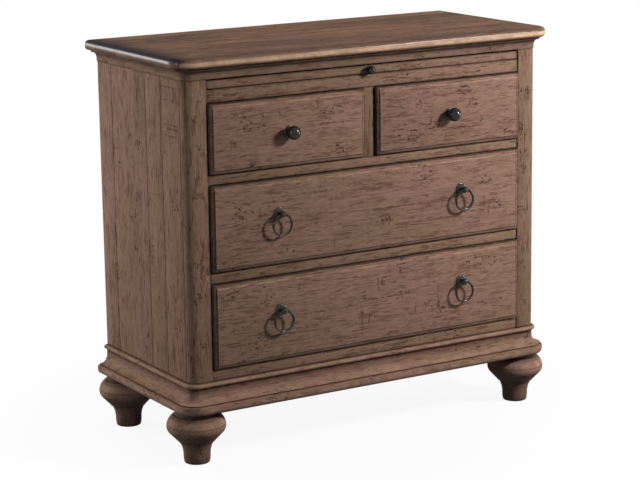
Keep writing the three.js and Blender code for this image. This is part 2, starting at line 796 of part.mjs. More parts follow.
// Two small drawers with ball knobs, left and right of the stile.
function makeSmallDrawers() {
  const inner = stileWidth / 2;
  for (const [name, side] of [["left_small_drawer", -1], ["right_small_drawer", 1]]) {
    const drawer = new THREE.Group();
    const [lowX, highX] = side < 0 ? [-halfOpening, -inner] : [inner, halfOpening];
    makeDrawer(drawer, name, lowX, highX, upperFloorZ, upperOpeningHeight);
    const knob = addPiece(drawer, `${name}_knob`, knobGeometry(1), "darkMetal");
    knob.position.set((lowX + highX) / 2, fieldY, upperFloorZ + upperOpeningHeight / 2);
    chest.add(drawer);
  }
}

// Two long drawers with ring pulls.
function makeLongDrawers() {
  const rows = [
    ["middle_drawer", middleFloorZ, middleOpeningHeight],
    ["lower_drawer", lowerFloorZ, lowerOpeningHeight],
  ];
  for (const [name, floorZ, height] of rows) {
    const drawer = new THREE.Group();
    makeDrawer(drawer, name, -halfOpening, halfOpening, floorZ, height);
    makeRingPulls(drawer, name, floorZ + height / 2);
    chest.add(drawer);
  }
}

makeTop();
makeCoveFrame();
makePosts();
makeSidePanels();
makeBackPanel();
makeFaceFrame();
makeFloors();
makeBeadBoard();
makeBaseMouldings();
makeBaseBoard();
makeFeet();
makeTray();
makeSmallDrawers();
makeLongDrawers();

// The origin is on the floor, midway between what stands out furthest in front and behind.
const furthestFront = fieldY - knobBallStandOff - knobBallRadius;
const furthestBack = Math.max(backY + topBackOverhang, backY - footFromBack + footBunRadius);
chest.position.y = -(furthestFront + furthestBack) / 2;

export default chest;
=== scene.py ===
# Finish of a bachelor's chest, laid out as an add-on: each operator below dresses one group of
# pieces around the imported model. Lengths are metres. X runs across the front, Y from front to
# back, Z up from the floor.
import json
import math

import bmesh
import bpy
from mathutils import Euler, Matrix, Vector, noise


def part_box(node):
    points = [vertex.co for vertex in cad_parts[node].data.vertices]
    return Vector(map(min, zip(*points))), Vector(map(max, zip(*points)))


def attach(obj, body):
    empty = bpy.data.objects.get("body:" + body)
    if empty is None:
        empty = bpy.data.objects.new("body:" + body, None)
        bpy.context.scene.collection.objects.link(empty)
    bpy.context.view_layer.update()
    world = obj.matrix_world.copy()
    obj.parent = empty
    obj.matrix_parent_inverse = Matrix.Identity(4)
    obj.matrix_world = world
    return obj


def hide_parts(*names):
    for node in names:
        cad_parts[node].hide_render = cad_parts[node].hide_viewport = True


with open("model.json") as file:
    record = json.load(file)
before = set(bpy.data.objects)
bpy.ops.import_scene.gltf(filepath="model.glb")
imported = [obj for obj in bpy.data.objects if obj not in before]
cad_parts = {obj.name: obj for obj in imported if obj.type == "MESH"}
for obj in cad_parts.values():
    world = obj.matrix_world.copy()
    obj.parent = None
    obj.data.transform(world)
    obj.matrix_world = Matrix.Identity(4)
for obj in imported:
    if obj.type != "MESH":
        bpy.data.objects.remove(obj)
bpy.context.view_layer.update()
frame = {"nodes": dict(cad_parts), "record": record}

bl_info = {
    "name": "Bachelor's chest finish",
    "version": (1, 0, 0),
    "blender": (4, 5, 0),
    "location": "View3D > Sidebar > Chest",
    "description": "Dresses the packed chest in worn wood and dark metal, and sets its stage",
    "category": "Object",
}

BODY_OF_NODE = {
    node: body
    for body, nodes in frame["record"]["behaviour"]["bodies"].items()
    for node in nodes
}

POSTS = ("front_post_left", "front_post_right")
SIDES = ("side_panel_left", "side_panel_right")
DRAWERS = ("left_small_drawer", "right_small_drawer", "middle_drawer", "lower_drawer")
SMALL_DRAWERS = DRAWERS[:2]
LONG_DRAWERS = DRAWERS[2:]
FEET = ("foot_front_left", "foot_front_right", "foot_back_left", "foot_back_right")

# Vertices nearer than this are taken as one, the second on turned and moulded pieces. Edges that
# turn by more than the sharp angle stay crisp, and faces that turn by less than the flat one are
# joined.
MERGE_DISTANCE = 1e-6
TURNED_MERGE_DISTANCE = 3e-6
SHARP_ANGLE = math.radians(32)
FLAT_ANGLE = math.radians(1)


# Settings that a user of the panel would change, each with its starting value and what it means

def length(default, description):
    """A length setting in metres."""
    return bpy.props.FloatProperty(
        default=default, description=description,
        min=0.0, precision=4, unit="LENGTH", subtype="DISTANCE")


def tint(default, description):
    """A colour setting, given as it should look on the screen."""
    return bpy.props.FloatVectorProperty(
        default=default, description=description, size=3, min=0.0, max=1.0, subtype="COLOR_GAMMA")


def share(default, description):
    """A setting from nothing to full."""
    return bpy.props.FloatProperty(
        default=default, description=description, min=0.0, max=1.0, subtype="FACTOR")


def degrees(default, description):
    """An angle setting, given in degrees."""
    return bpy.props.FloatProperty(
        default=math.radians(default), description=description, unit="ROTATION")


def power(default, description):
    """The power of a lamp in watts."""
    return bpy.props.FloatProperty(default=default, description=description, unit="POWER")


class ChestSizes(bpy.types.PropertyGroup):
    """Sizes of the mouldings, turnings and eased edges"""
    corner_radius: length(0.018, "Rounding of the case's front corners")
    joint_gap: length(0.0003, "Gap that glued joints keep")
    board_ease: length(0.0007, "Rounding of the edges of plain boards")
    nosing_depth: length(0.010, "How far the top's rounded edge reaches in")
    nosing_flat: length(0.003, "Flat in the middle of the top's edge")
    cove_foot: length(0.0012, "How far the cove's foot stands out from the case")
    cove_projection: length(0.014, "How far the cove's head stands out")
    cove_foot_fillet: length(0.003, "Flat under the cove")
    cove_head_fillet: length(0.0035, "Flat over the cove")
    moulding_depth: length(0.008, "How far a moulding reaches behind the case line")
    bead_projection: length(0.008, "How far the bead stands out from the case")
    bead_flat: length(0.001, "How far the bead's flat stands out")
    base_neck: length(0.0014, "How far the head of the base cove stands out")
    base_projection: length(0.025, "How far the base round stands out")
    base_under: length(0.017, "How far the base's underside stands out")
    base_round: length(0.019, "Height of the base round")
    base_cove: length(0.023, "Height of the base cove")
    quirk_depth: length(0.002, "Depth of the quirk over the base round")
    quirk_height: length(0.003, "Height of that quirk")
    sole_radius: length(0.0265, "Radius of a foot's sole")
    sole_edge: length(0.003, "Chamfer round a foot's sole")
    shaft_radius: length(0.028, "Radius of a foot's shaft")
    shaft_height: length(0.018, "Height where a foot's shaft begins to flare")
    shoulder_radius: length(0.0355, "Radius of a foot under its bun")
    shoulder_height: length(0.0455, "Height of a foot under its bun")
    foot_lip: length(0.002, "Small step between shoulder and bun")
    bun_radius: length(0.0615, "Largest radius of a foot")
    bun_under: length(0.018, "Radius that the bun turns under with")
    bun_core: length(0.030, "Radius that the bun's curve is struck from")
    bun_crown: length(0.0235, "Height from the bun's widest circle to its neck")
    bun_rise: length(0.029, "Half height of the bun's upper curve")
    neck_radius: length(0.044, "Radius of a foot's neck")
    neck_height: length(0.010, "Height of a foot's neck")
    tenon_radius: length(0.0125, "Radius of the tenon that holds a foot")
    knob_rosette: length(0.0125, "Radius of the disc behind a knob")
    knob_rosette_thickness: length(0.003, "Thickness of that disc")
    knob_neck: length(0.0065, "Radius of a knob's neck")
    knob_ball: length(0.0145, "Radius of a knob's ball")
    knob_stand_off: length(0.018, "From the drawer front to the ball's centre")
    knob_tip: length(0.0015, "Radius of the flat on a knob's tip")
    tray_knob_share: share(0.62, "Size of the tray's knob against the others")
    pull_rosette: length(0.0125, "Radius of the disc behind a ring pull")
    pull_rosette_thickness: length(0.0035, "Thickness of that disc")
    pull_neck: length(0.004, "Radius of a pull's neck")
    pull_ball: length(0.007, "Radius of a pull's bored ball")
    pull_stand_off: length(0.015, "From the drawer front to the ball's centre")
    ring_radius: length(0.0217, "Radius of a ring to the middle of its wire")
    ring_wire: length(0.0025, "Radius of a ring's wire")
    eye_clearance: length(0.00125, "Play of the ring in its eye")
    wear_depth: length(0.0007, "Deepest wear along the moulded edges")
    wear_size: length(0.028, "Typical length of one worn place")


class ChestFinish(bpy.types.PropertyGroup):
    """Colours and strengths of the finish"""
    body_light: tint((0.560, 0.430, 0.376), "Pinkish taupe of the case")
    body_dark: tint((0.512, 0.412, 0.330), "Olive taupe of the case")
    body_line: tint((0.325, 0.205, 0.160), "Reddish grain lines of the case")
    # The colour of the marks is also the glaze of the plinth, which there is mostly painted shade under
    # the round and the bead.
    mark: tint((0.235, 0.130, 0.095), "Worm holes, saw marks and knocks")
    # The glaze colour is laid as glaze in quirks and as painted shade in gaps, recesses and undersides,
    # and along the left and lower edges of the drawer fronts.
    glaze: tint((0.165, 0.152, 0.128), "Dark glaze left in quirks")
    # The rubbed-wood colour is laid as wear and as painted highlights along lit crests.
    rub: tint((0.690, 0.550, 0.460), "Wood where the finish is rubbed thin")
    top_light: tint((0.735, 0.553, 0.428), "Lighter streaks of the top")
    top_dark: tint((0.488, 0.368, 0.300), "Darker streaks of the top")
    # The slate glaze round the top is also painted shade, strongest along the left and under the front
    # nosing, and the tan of the nosing is wear with a painted highlight along its crest.
    top_edge: tint((0.240, 0.224, 0.242), "Slate glaze round the top's edge")
    top_wear_and_highlight: tint((0.830, 0.690, 0.565), "Tan wood along the rubbed nosing")
    box_light: tint((0.800, 0.700, 0.550), "Drawer sides, light")
    box_dark: tint((0.690, 0.570, 0.410), "Drawer sides, dark")
    panel_light: tint((0.680, 0.570, 0.430), "Inner panels, light")
    panel_dark: tint((0.550, 0.440, 0.320), "Inner panels, dark")
    metal: tint((0.020, 0.034, 0.030), "Near-black metal of knobs and pulls")
    metal_rub: tint((0.460, 0.440, 0.385), "Metal where hands have rubbed it")
    body_gloss: share(0.26, "Sheen of the case")
    top_gloss: share(0.60, "Sheen of the top")


class StageSettings(bpy.types.PropertyGroup):
    """Camera and lights"""
    camera_place: bpy.props.FloatVectorProperty(
        default=(-2.3671, -3.8810, 1.3843), description="Where the camera stands",
        size=3, unit="LENGTH", subtype="TRANSLATION")
    camera_turn: degrees(31.267, "How far the camera looks to the right of straight back")
    camera_tilt: degrees(12.360, "How far the camera looks down")
    camera_roll: degrees(0.803, "How far the camera leans to its right")
    camera_lens: bpy.props.FloatProperty(
        default=120.57, unit="CAMERA", description="Focal length on a 36 mm sensor")
    key_power: power(51.5, "Lamp at the front right")
    side_power: power(12.0, "Low lamp at the right")
    corner_power: power(12.0, "Soft lamp at the front left")
    fill_power: power(52.0, "Broad lamp behind the left side")
    sky_tint: tint((0.830, 0.900, 1.000), "Colour of the even light")
    sky_level: share(0.13, "Even light from all round")
    floor_colour: tint((0.96, 0.96, 0.955), "Pale floor")
    floor_bounce: tint((0.38, 0.39, 0.41), "Floor as it throws light back up")


# Small tools for building shader and geometry node trees

def add_node(tree, kind, inputs=None, **settings):
    """Adds a node, sets its options, and links or sets its inputs by name or number."""
    node = tree.nodes.new(kind)
    for key, value in settings.items():
        setattr(node, key, value)
    for key, value in (inputs or {}).items():
        feed(tree, node.inputs[key], value)
    return node


def feed(tree, socket, value):
    """Links a socket to another one, or gives it a plain value."""
    if isinstance(value, bpy.types.NodeSocket):
        tree.links.new(value, socket)
    else:
        socket.default_value = value


def calc(tree, operation, first, second=0.0, third=0.0, clamp=False):
    """One arithmetic node."""
    inputs = {0: first, 1: second, 2: third}
    return add_node(tree, "ShaderNodeMath", inputs, operation=operation, use_clamp=clamp).outputs[0]


def apart(tree, first, second):
    """How far two values lie apart."""
    return calc(tree, "ABSOLUTE", calc(tree, "SUBTRACT", first, second))


def calc_vector(tree, operation, first, second=(0.0, 0.0, 0.0)):
    """One vector arithmetic node."""
    inputs = {0: first, 1: second}
    return add_node(tree, "ShaderNodeVectorMath", inputs, operation=operation).outputs[0]


def between(tree, value, low, high, start=0.0, end=1.0):
    """Smooth change from start to end while the value goes from low to high."""
    inputs = {"Value": value, "From Min": low, "From Max": high, "To Min": start, "To Max": end}
    node = add_node(tree, "ShaderNodeMapRange", inputs, interpolation_type="SMOOTHSTEP")
    return node.outputs["Result"]


def weakened(tree, mask, patches, least, most):
    """A mask weakened in patches, to between two shares of itself."""
    return calc(tree, "MULTIPLY", mask, between(tree, patches, 0.0, 1.0, least, most))


def split(tree, vector):
    """The three parts of a vector."""
    return add_node(tree, "ShaderNodeSeparateXYZ", {"Vector": vector}).outputs


def join(tree, x, y, z):
    """A vector made of three parts."""
    return add_node(tree, "ShaderNodeCombineXYZ", {"X": x, "Y": y, "Z": z}).outputs[0]


def carried(tree, name, output="Fac"):
    """What the vertices of a mesh carry under a name."""
    return add_node(tree, "ShaderNodeAttribute", attribute_name=name).outputs[output]


def board_sides(tree):
    """How far a place lies from its board's low sides and from its high sides."""
    return [split(tree, carried(tree, name, "Vector")) for name in ("from_low", "to_high")]


def screen_colour(tint_value):
    """Turns a colour as seen on the screen into the linear one that shaders take."""
    linear = [
        value / 12.92 if value <= 0.04045 else ((value + 0.055) / 1.055) ** 2.4
        for value in tint_value
    ]
    return (*linear, 1.0)


def blend_colours(tree, amount, first, second):
    """Mixes two colours, each a socket or a colour as seen on the screen."""
    node = tree.nodes.new("ShaderNodeMix")
    node.data_type = "RGBA"
    feed(tree, node.inputs["Factor"], amount)
    sockets = [socket for socket in node.inputs if socket.type == "RGBA"]
    for socket, colour in zip(sockets, (first, second)):
        linked = isinstance(colour, bpy.types.NodeSocket)
        feed(tree, socket, colour if linked else screen_colour(colour))
    return next(socket for socket in node.outputs if socket.type == "RGBA")


def lay_on(tree, base, masks, strengths, colour):
    """Lays a colour over a base through each named mask, at that mask's strength."""
    for name, strength in strengths.items():
        base = blend_colours(tree, calc(tree, "MULTIPLY", masks[name], strength), base, colour)
    return base


def add_up(tree, total, masks, shares):
    """Adds the given share of each named mask to a total."""
    for name, mask_share in shares.items():
        total = calc(tree, "MULTIPLY_ADD", masks[name], mask_share, total)
    return total


def streaked(tree, base, streaks, dark, light):
    """A colour made darker and lighter by streaks."""
    inputs = {"Color": base, "Value": between(tree, streaks, 0.0, 1.0, dark, light)}
    return add_node(tree, "ShaderNodeHueSaturation", inputs).outputs["Color"]


def noise_at(tree, place, scale, detail=2.0, roughness=0.5):
    """Value of a noise at a place."""
    inputs = {"Vector": place, "Scale": scale, "Detail": detail, "Roughness": roughness}
    return add_node(tree, "ShaderNodeTexNoise", inputs).outputs["Fac"]


def stretched(tree, place, scale):
    """A place scaled differently along each axis."""
    return calc_vector(tree, "MULTIPLY", place, scale)


def wood_noise(tree, place, along, across, roughness=0.6, detail=2.0, scale=1.0):
    """Noise drawn out along the grain, by how often it changes in a metre along and across."""
    return noise_at(tree, stretched(tree, place, (along, across, across)), scale, detail, roughness)


def new_tree(name, kind, inputs, outputs):
    """A node tree with its input and output nodes, from names and the kinds of their sockets."""
    tree = bpy.data.node_groups.new(name, kind)
    for way, sockets in (("INPUT", inputs), ("OUTPUT", outputs)):
        for label, socket_kind in sockets.items():
            tree.interface.new_socket(label, in_out=way, socket_type=f"NodeSocket{socket_kind}")
    return tree, tree.nodes.new("NodeGroupInput").outputs, tree.nodes.new("NodeGroupOutput")


def shader_group(name, inputs, outputs):
    """A shader node group that gives out numbers."""
    return new_tree(name, "ShaderNodeTree", inputs, dict.fromkeys(outputs, "Float"))


def once(name, build):
    """A node group by name, built the first time it is asked for."""
    return bpy.data.node_groups.get(name) or build(name)


def use_group(tree, name, build, inputs):
    """Places a node group and feeds its inputs."""
    node = add_node(tree, "ShaderNodeGroup", node_tree=once(name, build))
    for key, value in inputs.items():
        feed(tree, node.inputs[key], value)
    return node.outputs


# Shader node groups that several finishes share

def place_on_board(tree, source, amounts):
    """The place that a group is given, shifted by the board's number, so that no two boards
    look alike."""
    shift = [calc(tree, "MULTIPLY", source["Board"], amount) for amount in amounts]
    return calc_vector(tree, "ADD", source["Place"], join(tree, *shift))


# Dark lines of the grain, coarse to fine: repeats a metre across, width, repeats a metre along,
# and the noise levels between which they fade in
GRAIN_LINES = (
    (34.0, 0.020, 1.6, 0.53, 0.65), (75.0, 0.036, 4.0, 0.51, 0.62), (150.0, 0.055, 9.0, 0.48, 0.58),
)


def build_grain(name):
    """Long wood grain: blotches of tone, fine light and dark streaks, figure, dark lines and
    pores. The place has its X along the grain."""
    tree, source, sink = shader_group(
        name, {"Place": "Vector", "Board": "Float"}, ("Tone", "Streaks", "Figure", "Lines", "Pores"))
    place = place_on_board(tree, source, (3.1, 7.7, 5.3))

    patches = wood_noise(tree, place, 4.5, 11.0, roughness=0.5)
    bands = wood_noise(tree, place, 2.2, 42.0)
    both = calc(tree, "MULTIPLY_ADD", patches, 0.55, calc(tree, "MULTIPLY", bands, 0.45))
    feed(tree, sink.inputs["Tone"], between(tree, both, 0.38, 0.62))

    fine = wood_noise(tree, place, 70.0, 430.0)
    soft = wood_noise(tree, place, 20.0, 260.0)
    both = calc(tree, "MULTIPLY_ADD", fine, 0.65, calc(tree, "MULTIPLY", soft, 0.35))
    feed(tree, sink.inputs["Streaks"], between(tree, both, 0.34, 0.66))

    wander = calc(tree, "MULTIPLY", wood_noise(tree, place, 1.1, 9.0, roughness=0.5), 0.20)
    bent = calc_vector(
        tree, "ADD", stretched(tree, place, (0.08, 1.0, 1.0)), join(tree, 0.0, wander, wander))
    rings = add_node(
        tree, "ShaderNodeTexWave",
        {"Vector": bent, "Scale": 22.0, "Distortion": 1.0, "Detail": 2.0, "Detail Scale": 1.4},
        wave_type="RINGS", rings_direction="X", wave_profile="SAW").outputs["Fac"]
    feed(tree, sink.inputs["Figure"], between(tree, rings, 0.60, 1.0))

    total = 0.0
    for across, width, along, low, high in GRAIN_LINES:
        ridge = wood_noise(tree, place, along, across, roughness=0.55)
        line = between(tree, apart(tree, ridge, 0.5), width * 0.3, width, 1.0, 0.0)
        broken = wood_noise(tree, place, 34.0, across, roughness=0.65, detail=3.0, scale=0.7)
        line = calc(tree, "MULTIPLY", line, between(tree, broken, low, high))
        total = calc(tree, "MAXIMUM", line, total)
    feed(tree, sink.inputs["Lines"], total)

    pores = wood_noise(tree, place, 60.0, 520.0, roughness=0.5, detail=1.0)
    feed(tree, sink.inputs["Pores"], between(tree, pores, 0.58, 0.72))
    return tree


# Spots of age: name, shortness along the grain where 1 is round, spots to a metre, and size
AGE_SPOTS = (("Holes", 0.62, 215.0, 0.62), ("Dashes", 0.17, 230.0, 0.40))


def build_marks(name):
    """Marks of age: worm holes in clusters, short dark dashes, and saw marks across the grain.
    Crowding adds holes and dashes, or takes them away below nothing."""
    tree, source, sink = shader_group(
        name, {"Place": "Vector", "Board": "Float", "Crowding": "Float"}, ("Holes", "Dashes", "Saw"))
    place = place_on_board(tree, source, (2.3, 4.9, 6.1))

    clusters = between(tree, wood_noise(tree, place, 9.0, 16.0, roughness=0.55), 0.52, 0.70)
    clusters = calc(tree, "ADD", clusters, source["Crowding"], clamp=True)
    jitter = noise_at(tree, place, 300.0, roughness=0.6)
    jitter = calc(tree, "MULTIPLY", calc(tree, "SUBTRACT", jitter, 0.5), 0.9)
    for label, shortness, scale, reach in AGE_SPOTS:
        cells = add_node(
            tree, "ShaderNodeTexVoronoi",
            {"Vector": stretched(tree, place, (shortness, 1.0, 1.0)), "Scale": scale,
             "Randomness": 1.0})
        pick = add_node(tree, "ShaderNodeSeparateColor", {"Color": cells.outputs["Color"]})
        size = calc(tree, "MULTIPLY", pick.outputs[0], reach)
        ragged = calc(tree, "ADD", cells.outputs["Distance"], jitter)
        spot = between(tree, calc(tree, "SUBTRACT", size, ragged), -0.06, 0.14)
        chosen = calc(tree, "GREATER_THAN", calc(tree, "ADD", pick.outputs[1], clusters), 0.90)
        spot = calc(tree, "MULTIPLY", spot, chosen)
        feed(tree, sink.inputs[label], calc(tree, "MULTIPLY", spot, between(tree, clusters, 0.0, 0.25)))

    strokes = between(tree, wood_noise(tree, place, 190.0, 14.0), 0.54, 0.70)
    bands = between(tree, wood_noise(tree, place, 4.0, 7.0), 0.48, 0.66)
    rows = between(tree, wood_noise(tree, place, 36.0, 22.0, roughness=0.65, detail=3.0), 0.46, 0.62)
    saw = calc(tree, "MULTIPLY", calc(tree, "MULTIPLY", strokes, bands), rows)
    feed(tree, sink.inputs["Saw"], saw)
    return tree


def build_edges(name):
    """Distance from the nearest edge of a board, in metres, and the masks that a moulding
    carries: glaze with painted shade, and wear with painted highlights."""
    tree, source, sink = shader_group(
        name, {"Place": "Vector"}, ("Distance", "Glaze", "Rub", "Patchy"))
    from_low, to_high = board_sides(tree)
    x, y, z = [calc(tree, "MINIMUM", from_low[axis], to_high[axis]) for axis in range(3)]
    middle = calc(
        tree, "MAXIMUM", calc(tree, "MINIMUM", x, y),
        calc(tree, "MINIMUM", calc(tree, "MAXIMUM", x, y), z))
    no_board = calc(tree, "LESS_THAN", calc(tree, "ADD", from_low[0], to_high[0]), MERGE_DISTANCE)
    feed(tree, sink.inputs["Distance"], calc(tree, "ADD", middle, no_board))
    # The glaze mask holds painted shade as well as glaze, and the wear mask painted highlights as well
    # as wear.
    for label in ("Glaze", "Rub"):
        feed(tree, sink.inputs[label], carried(tree, label.lower()))
    uneven = noise_at(tree, source["Place"], 42.0, 4.0, 0.62)
    feed(tree, sink.inputs["Patchy"], between(tree, uneven, 0.34, 0.66))
    return tree


def build_spots(name):
    """How near a place is to one chosen spot, from none to full."""
    tree, source, sink = shader_group(
        name, {"Place": "Vector", "Centre": "Vector", "Reach": "Float"}, ("Nearness",))
    away = calc_vector(tree, "SUBTRACT", source["Place"], source["Centre"])
    flat = stretched(tree, away, (1.0, 0.0, 1.3))
    far = add_node(tree, "ShaderNodeVectorMath", {0: flat}, operation="LENGTH").outputs["Value"]
    share_of_reach = calc(tree, "DIVIDE", far, source["Reach"])
    feed(tree, sink.inputs["Nearness"], between(tree, share_of_reach, 0.25, 1.0, 1.0, 0.0))
    return tree


def build_cut(name):
    """One thin cut or crack, from none to full: a centre, and how far it reaches each way."""
    tree, source, sink = shader_group(
        name, {"Place": "Vector", "Centre": "Vector", "Reach": "Vector"}, ("Cut",))
    away = calc_vector(tree, "SUBTRACT", source["Place"], source["Centre"])
    away = calc_vector(tree, "DIVIDE", away, source["Reach"])
    axes = split(tree, calc_vector(tree, "ABSOLUTE", away))
    furthest = calc(tree, "MAXIMUM", calc(tree, "MAXIMUM", axes["X"], axes["Y"]), axes["Z"])
    feed(tree, sink.inputs["Cut"], between(tree, furthest, 0.35, 1.15, 1.0, 0.0))
    return tree


# Finishes

# Turns that bring each axis, along which the grain runs, to X
ALONG = {"x": (0.0, 0.0, 0.0), "y": (0.0, 0.0, -math.pi / 2), "z": (0.0, math.pi / 2, 0.0)}

# Places on the drawer fronts where worm holes crowd: across, up from the floor, reach
WORM_SPOTS = (
    (-0.310, 0.717, 0.030), (-0.267, 0.710, 0.026), (-0.300, 0.697, 0.034), (-0.257, 0.687, 0.022),
    (-0.330, 0.660, 0.024), (-0.068, 0.722, 0.022), (-0.110, 0.700, 0.026), (-0.075, 0.628, 0.030),
    (0.060, 0.716, 0.022), (0.231, 0.715, 0.034), (0.262, 0.690, 0.026), (0.285, 0.655, 0.022),
    (0.160, 0.650, 0.024), (0.120, 0.700, 0.020), (-0.310, 0.520, 0.048), (-0.275, 0.478, 0.030),
    (0.030, 0.457, 0.030), (0.135, 0.545, 0.040), (0.290, 0.520, 0.030), (0.320, 0.470, 0.036),
    (-0.200, 0.430, 0.026), (-0.268, 0.356, 0.016), (-0.250, 0.338, 0.018), (-0.262, 0.324, 0.014),
    (0.075, 0.297, 0.034), (0.030, 0.330, 0.024), (-0.114, 0.245, 0.012), (0.300, 0.340, 0.030),
    (-0.398, 0.744, 0.016), (-0.403, 0.716, 0.020), (-0.400, 0.660, 0.022), (-0.389, 0.646, 0.020),
    (-0.404, 0.560, 0.020), (-0.398, 0.420, 0.030), (-0.406, 0.350, 0.026), (-0.400, 0.250, 0.020),
    (0.401, 0.700, 0.024), (0.402, 0.615, 0.030), (0.400, 0.530, 0.024), (0.401, 0.438, 0.030),
    (0.402, 0.320, 0.026), (0.400, 0.230, 0.020),
)

# Long cracks on the drawer fronts: middle across, up from the floor, half length
CRACKS = (
    (-0.094, 0.680, 0.066), (-0.086, 0.617, 0.046), (-0.300, 0.632, 0.040), (0.065, 0.678, 0.058),
    (0.235, 0.640, 0.050), (0.082, 0.487, 0.105), (-0.230, 0.455, 0.060), (-0.140, 0.540, 0.050),
    (0.250, 0.455, 0.060), (-0.130, 0.287, 0.052), (0.040, 0.296, 0.080), (-0.310, 0.300, 0.040),
    (0.200, 0.250, 0.060), (-0.220, 0.252, 0.050),
)

# Saw marks on the drawer fronts: across, middle up from the floor, half height
SAW_CUTS = (
    (-0.129, 0.723, 0.013), (-0.220, 0.715, 0.010), (0.150, 0.668, 0.016), (-0.269, 0.509, 0.014),
    (-0.101, 0.512, 0.018), (-0.223, 0.472, 0.012), (0.286, 0.468, 0.026), (0.297, 0.452, 0.018),
    (0.020, 0.535, 0.012), (-0.028, 0.254, 0.030), (-0.010, 0.252, 0.016), (0.107, 0.262, 0.016),
    (0.166, 0.275, 0.036), (0.014, 0.326, 0.014), (-0.180, 0.345, 0.010),
)

# Places on the side panels where worm holes crowd: depth, up from the floor, reach
SIDE_SPOTS = (
    (-0.133, 0.540, 0.034), (-0.140, 0.566, 0.020), (0.053, 0.484, 0.040), (-0.007, 0.435, 0.026),
    (0.020, 0.640, 0.024), (-0.054, 0.330, 0.024), (-0.131, 0.290, 0.030), (0.144, 0.360, 0.024),
)

# Saw marks across the front plank of a side panel: up from the floor
SIDE_CUTS = (0.774, 0.748, 0.698, 0.690, 0.676)

# Half the width of a cut, how far one reaches into the wood, which is more than it shows, and how
# far it wavers
CUT_WIDTH = 0.0022
CUT_DEPTH = 1.0
CUT_WAVER = 0.006

# How pink each kind of piece is: its even part, and the part that varies over the wood
PINK_SHARES = {"post": (0.0, 0.42), "board": (0.0, 0.5), "drawer": (0.30, 0.60)}
OTHER_PINK_SHARES = (0.0, 1.0)

# How strongly each kind of piece shows its grain lines, and the saw marks against the lines
LINE_SHARES = {"turned": 0.22, "moulding": 0.45, "plinth": 0.45, "drawer": 0.54}
OTHER_LINE_SHARE = 0.66
SAW_SHARE = 0.55

# How much holes and dashes crowd on pieces cut from a board, on worked ones and near a spot
BOARD_CROWDING = -0.40
WORKED_CROWDING = -0.22
TOP_CROWDING = -0.20
SPOT_CROWDING = 1.30

# How strongly the marks show in the colour of each wood, laid on in this order
BODY_LINE_SHARES = {"Figure": 0.08, "Pores": 0.26}
BODY_CUT_SHARES = {"Cuts": 0.72, "Joints": 0.62}
BODY_MARK_SHARES = {"Dashes": 0.57, "Holes": 0.60}
TOP_SHARES = {"Figure": 0.18, "Lines": 0.46, "Pores": 0.22, "Joints": 0.38, "Dashes": 0.45}
PLAIN_SHARES = {"Figure": 0.16, "Lines": 0.20, "Pores": 0.16}
GRIME_SHARE = 0.16

# How dark and how light the streaks make each wood
BODY_STREAKS = (0.87, 1.11)
TOP_STREAKS = (0.84, 1.14)
PLAIN_STREAKS = (0.93, 1.05)

# Least and most of the glaze with its painted shade and of the wear with its painted
# highlights, in the patches of each finish
GLAZE_AND_SHADE_PATCHES = (0.80, 1.0)
WEAR_AND_HIGHLIGHT_PATCHES = (0.15, 0.85)
TOP_WEAR_AND_HIGHLIGHT_PATCHES = (0.62, 1.0)
METAL_WEAR_AND_HIGHLIGHT_PATCHES = (0.35, 0.85)

# Masks along an edge or a joint: distances between which they fade, and strengths at these.
# The glaze along board edges is glaze and painted shade in the gaps between parts.
BOARD_GLAZE_AND_SHADE = (0.0006, 0.0034, 0.55, 0.0)
BOARD_RUB = (0.0, 0.0020, 0.20, 0.0)
PLANK_JOINT = (0.0006, 0.0036, 1.0, 0.0)

# How much light each finish throws straight back
BODY_SPECULAR = 0.02
TOP_SPECULAR = 0.002
PLAIN_SPECULAR = 0.35
METAL_SPECULAR = 0.27
FLOOR_SPECULAR = 0.1

# Roughness that isn't set by a gloss, what tone, lines or mottle add to each, and the polish's own
BODY_ROUGH_GAINS = {"Tone": -0.08, "Lines": 0.12}
TOP_ROUGH_GAINS = {"Tone": 0.10, "Lines": 0.10}
PLAIN_ROUGHNESS = 0.68
PLAIN_ROUGH_GAINS = {"Tone": -0.10}
METAL_ROUGHNESS = 0.08
METAL_MOTTLE_GAIN = 0.05
METAL_FINE_GAIN = 0.03
FLOOR_ROUGHNESS = 0.9
POLISH_ROUGHNESS = 0.26

# How deep the marks lie, against the deepest ones of each wood, and those ones' depth in metres
BODY_DEPTH_SHARES = {"Dashes": 0.6, "Cuts": 0.5, "Lines": 0.35, "Pores": 0.20, "Saw": 0.20}
BODY_DEPTH = 0.0009
TOP_DEPTH_SHARES = {"Lines": 0.30, "Pores": 0.15}
TOP_DEPTH = 0.0006
PLAIN_DEPTH_SHARES = {"Lines": 0.5, "Pores": 0.5}
PLAIN_DEPTH = 0.0004
METAL_DEPTH = 0.00005

# Planks of the top: their width, where the first one begins, and the share a joint leaves
TOP_PLANK_WIDTH = 0.092
TOP_PLANK_OFFSET = 0.031
TOP_JOINT_SHARE = 0.486

# Depth that the V joints of a side panel are known by
GROOVE_DEPTH = 0.0009


def finish_tree(name):
    """A new material with a Principled shader, ready to be wired."""
    material = bpy.data.materials.new(name)
    material.use_nodes = True
    tree = material.node_tree
    return material, tree, tree.nodes["Principled BSDF"]


def grain_place(tree, along):
    """Object coordinates, as they are and turned so that X runs along the grain."""
    place = add_node(tree, "ShaderNodeTexCoord").outputs["Object"]
    inputs = {"Vector": place, "Rotation": ALONG[along]}
    return place, add_node(tree, "ShaderNodeMapping", inputs).outputs[0]


def wood_marks(tree, turned, board, crowding):
    """Masks of the grain and the marks of age of one board, by name."""
    grain = use_group(tree, "Wood grain", build_grain, {"Place": turned, "Board": board})
    marks = use_group(
        tree, "Marks of age", build_marks, {"Place": turned, "Board": board, "Crowding": crowding})
    return {socket.name: socket for socket in [*grain, *marks]}


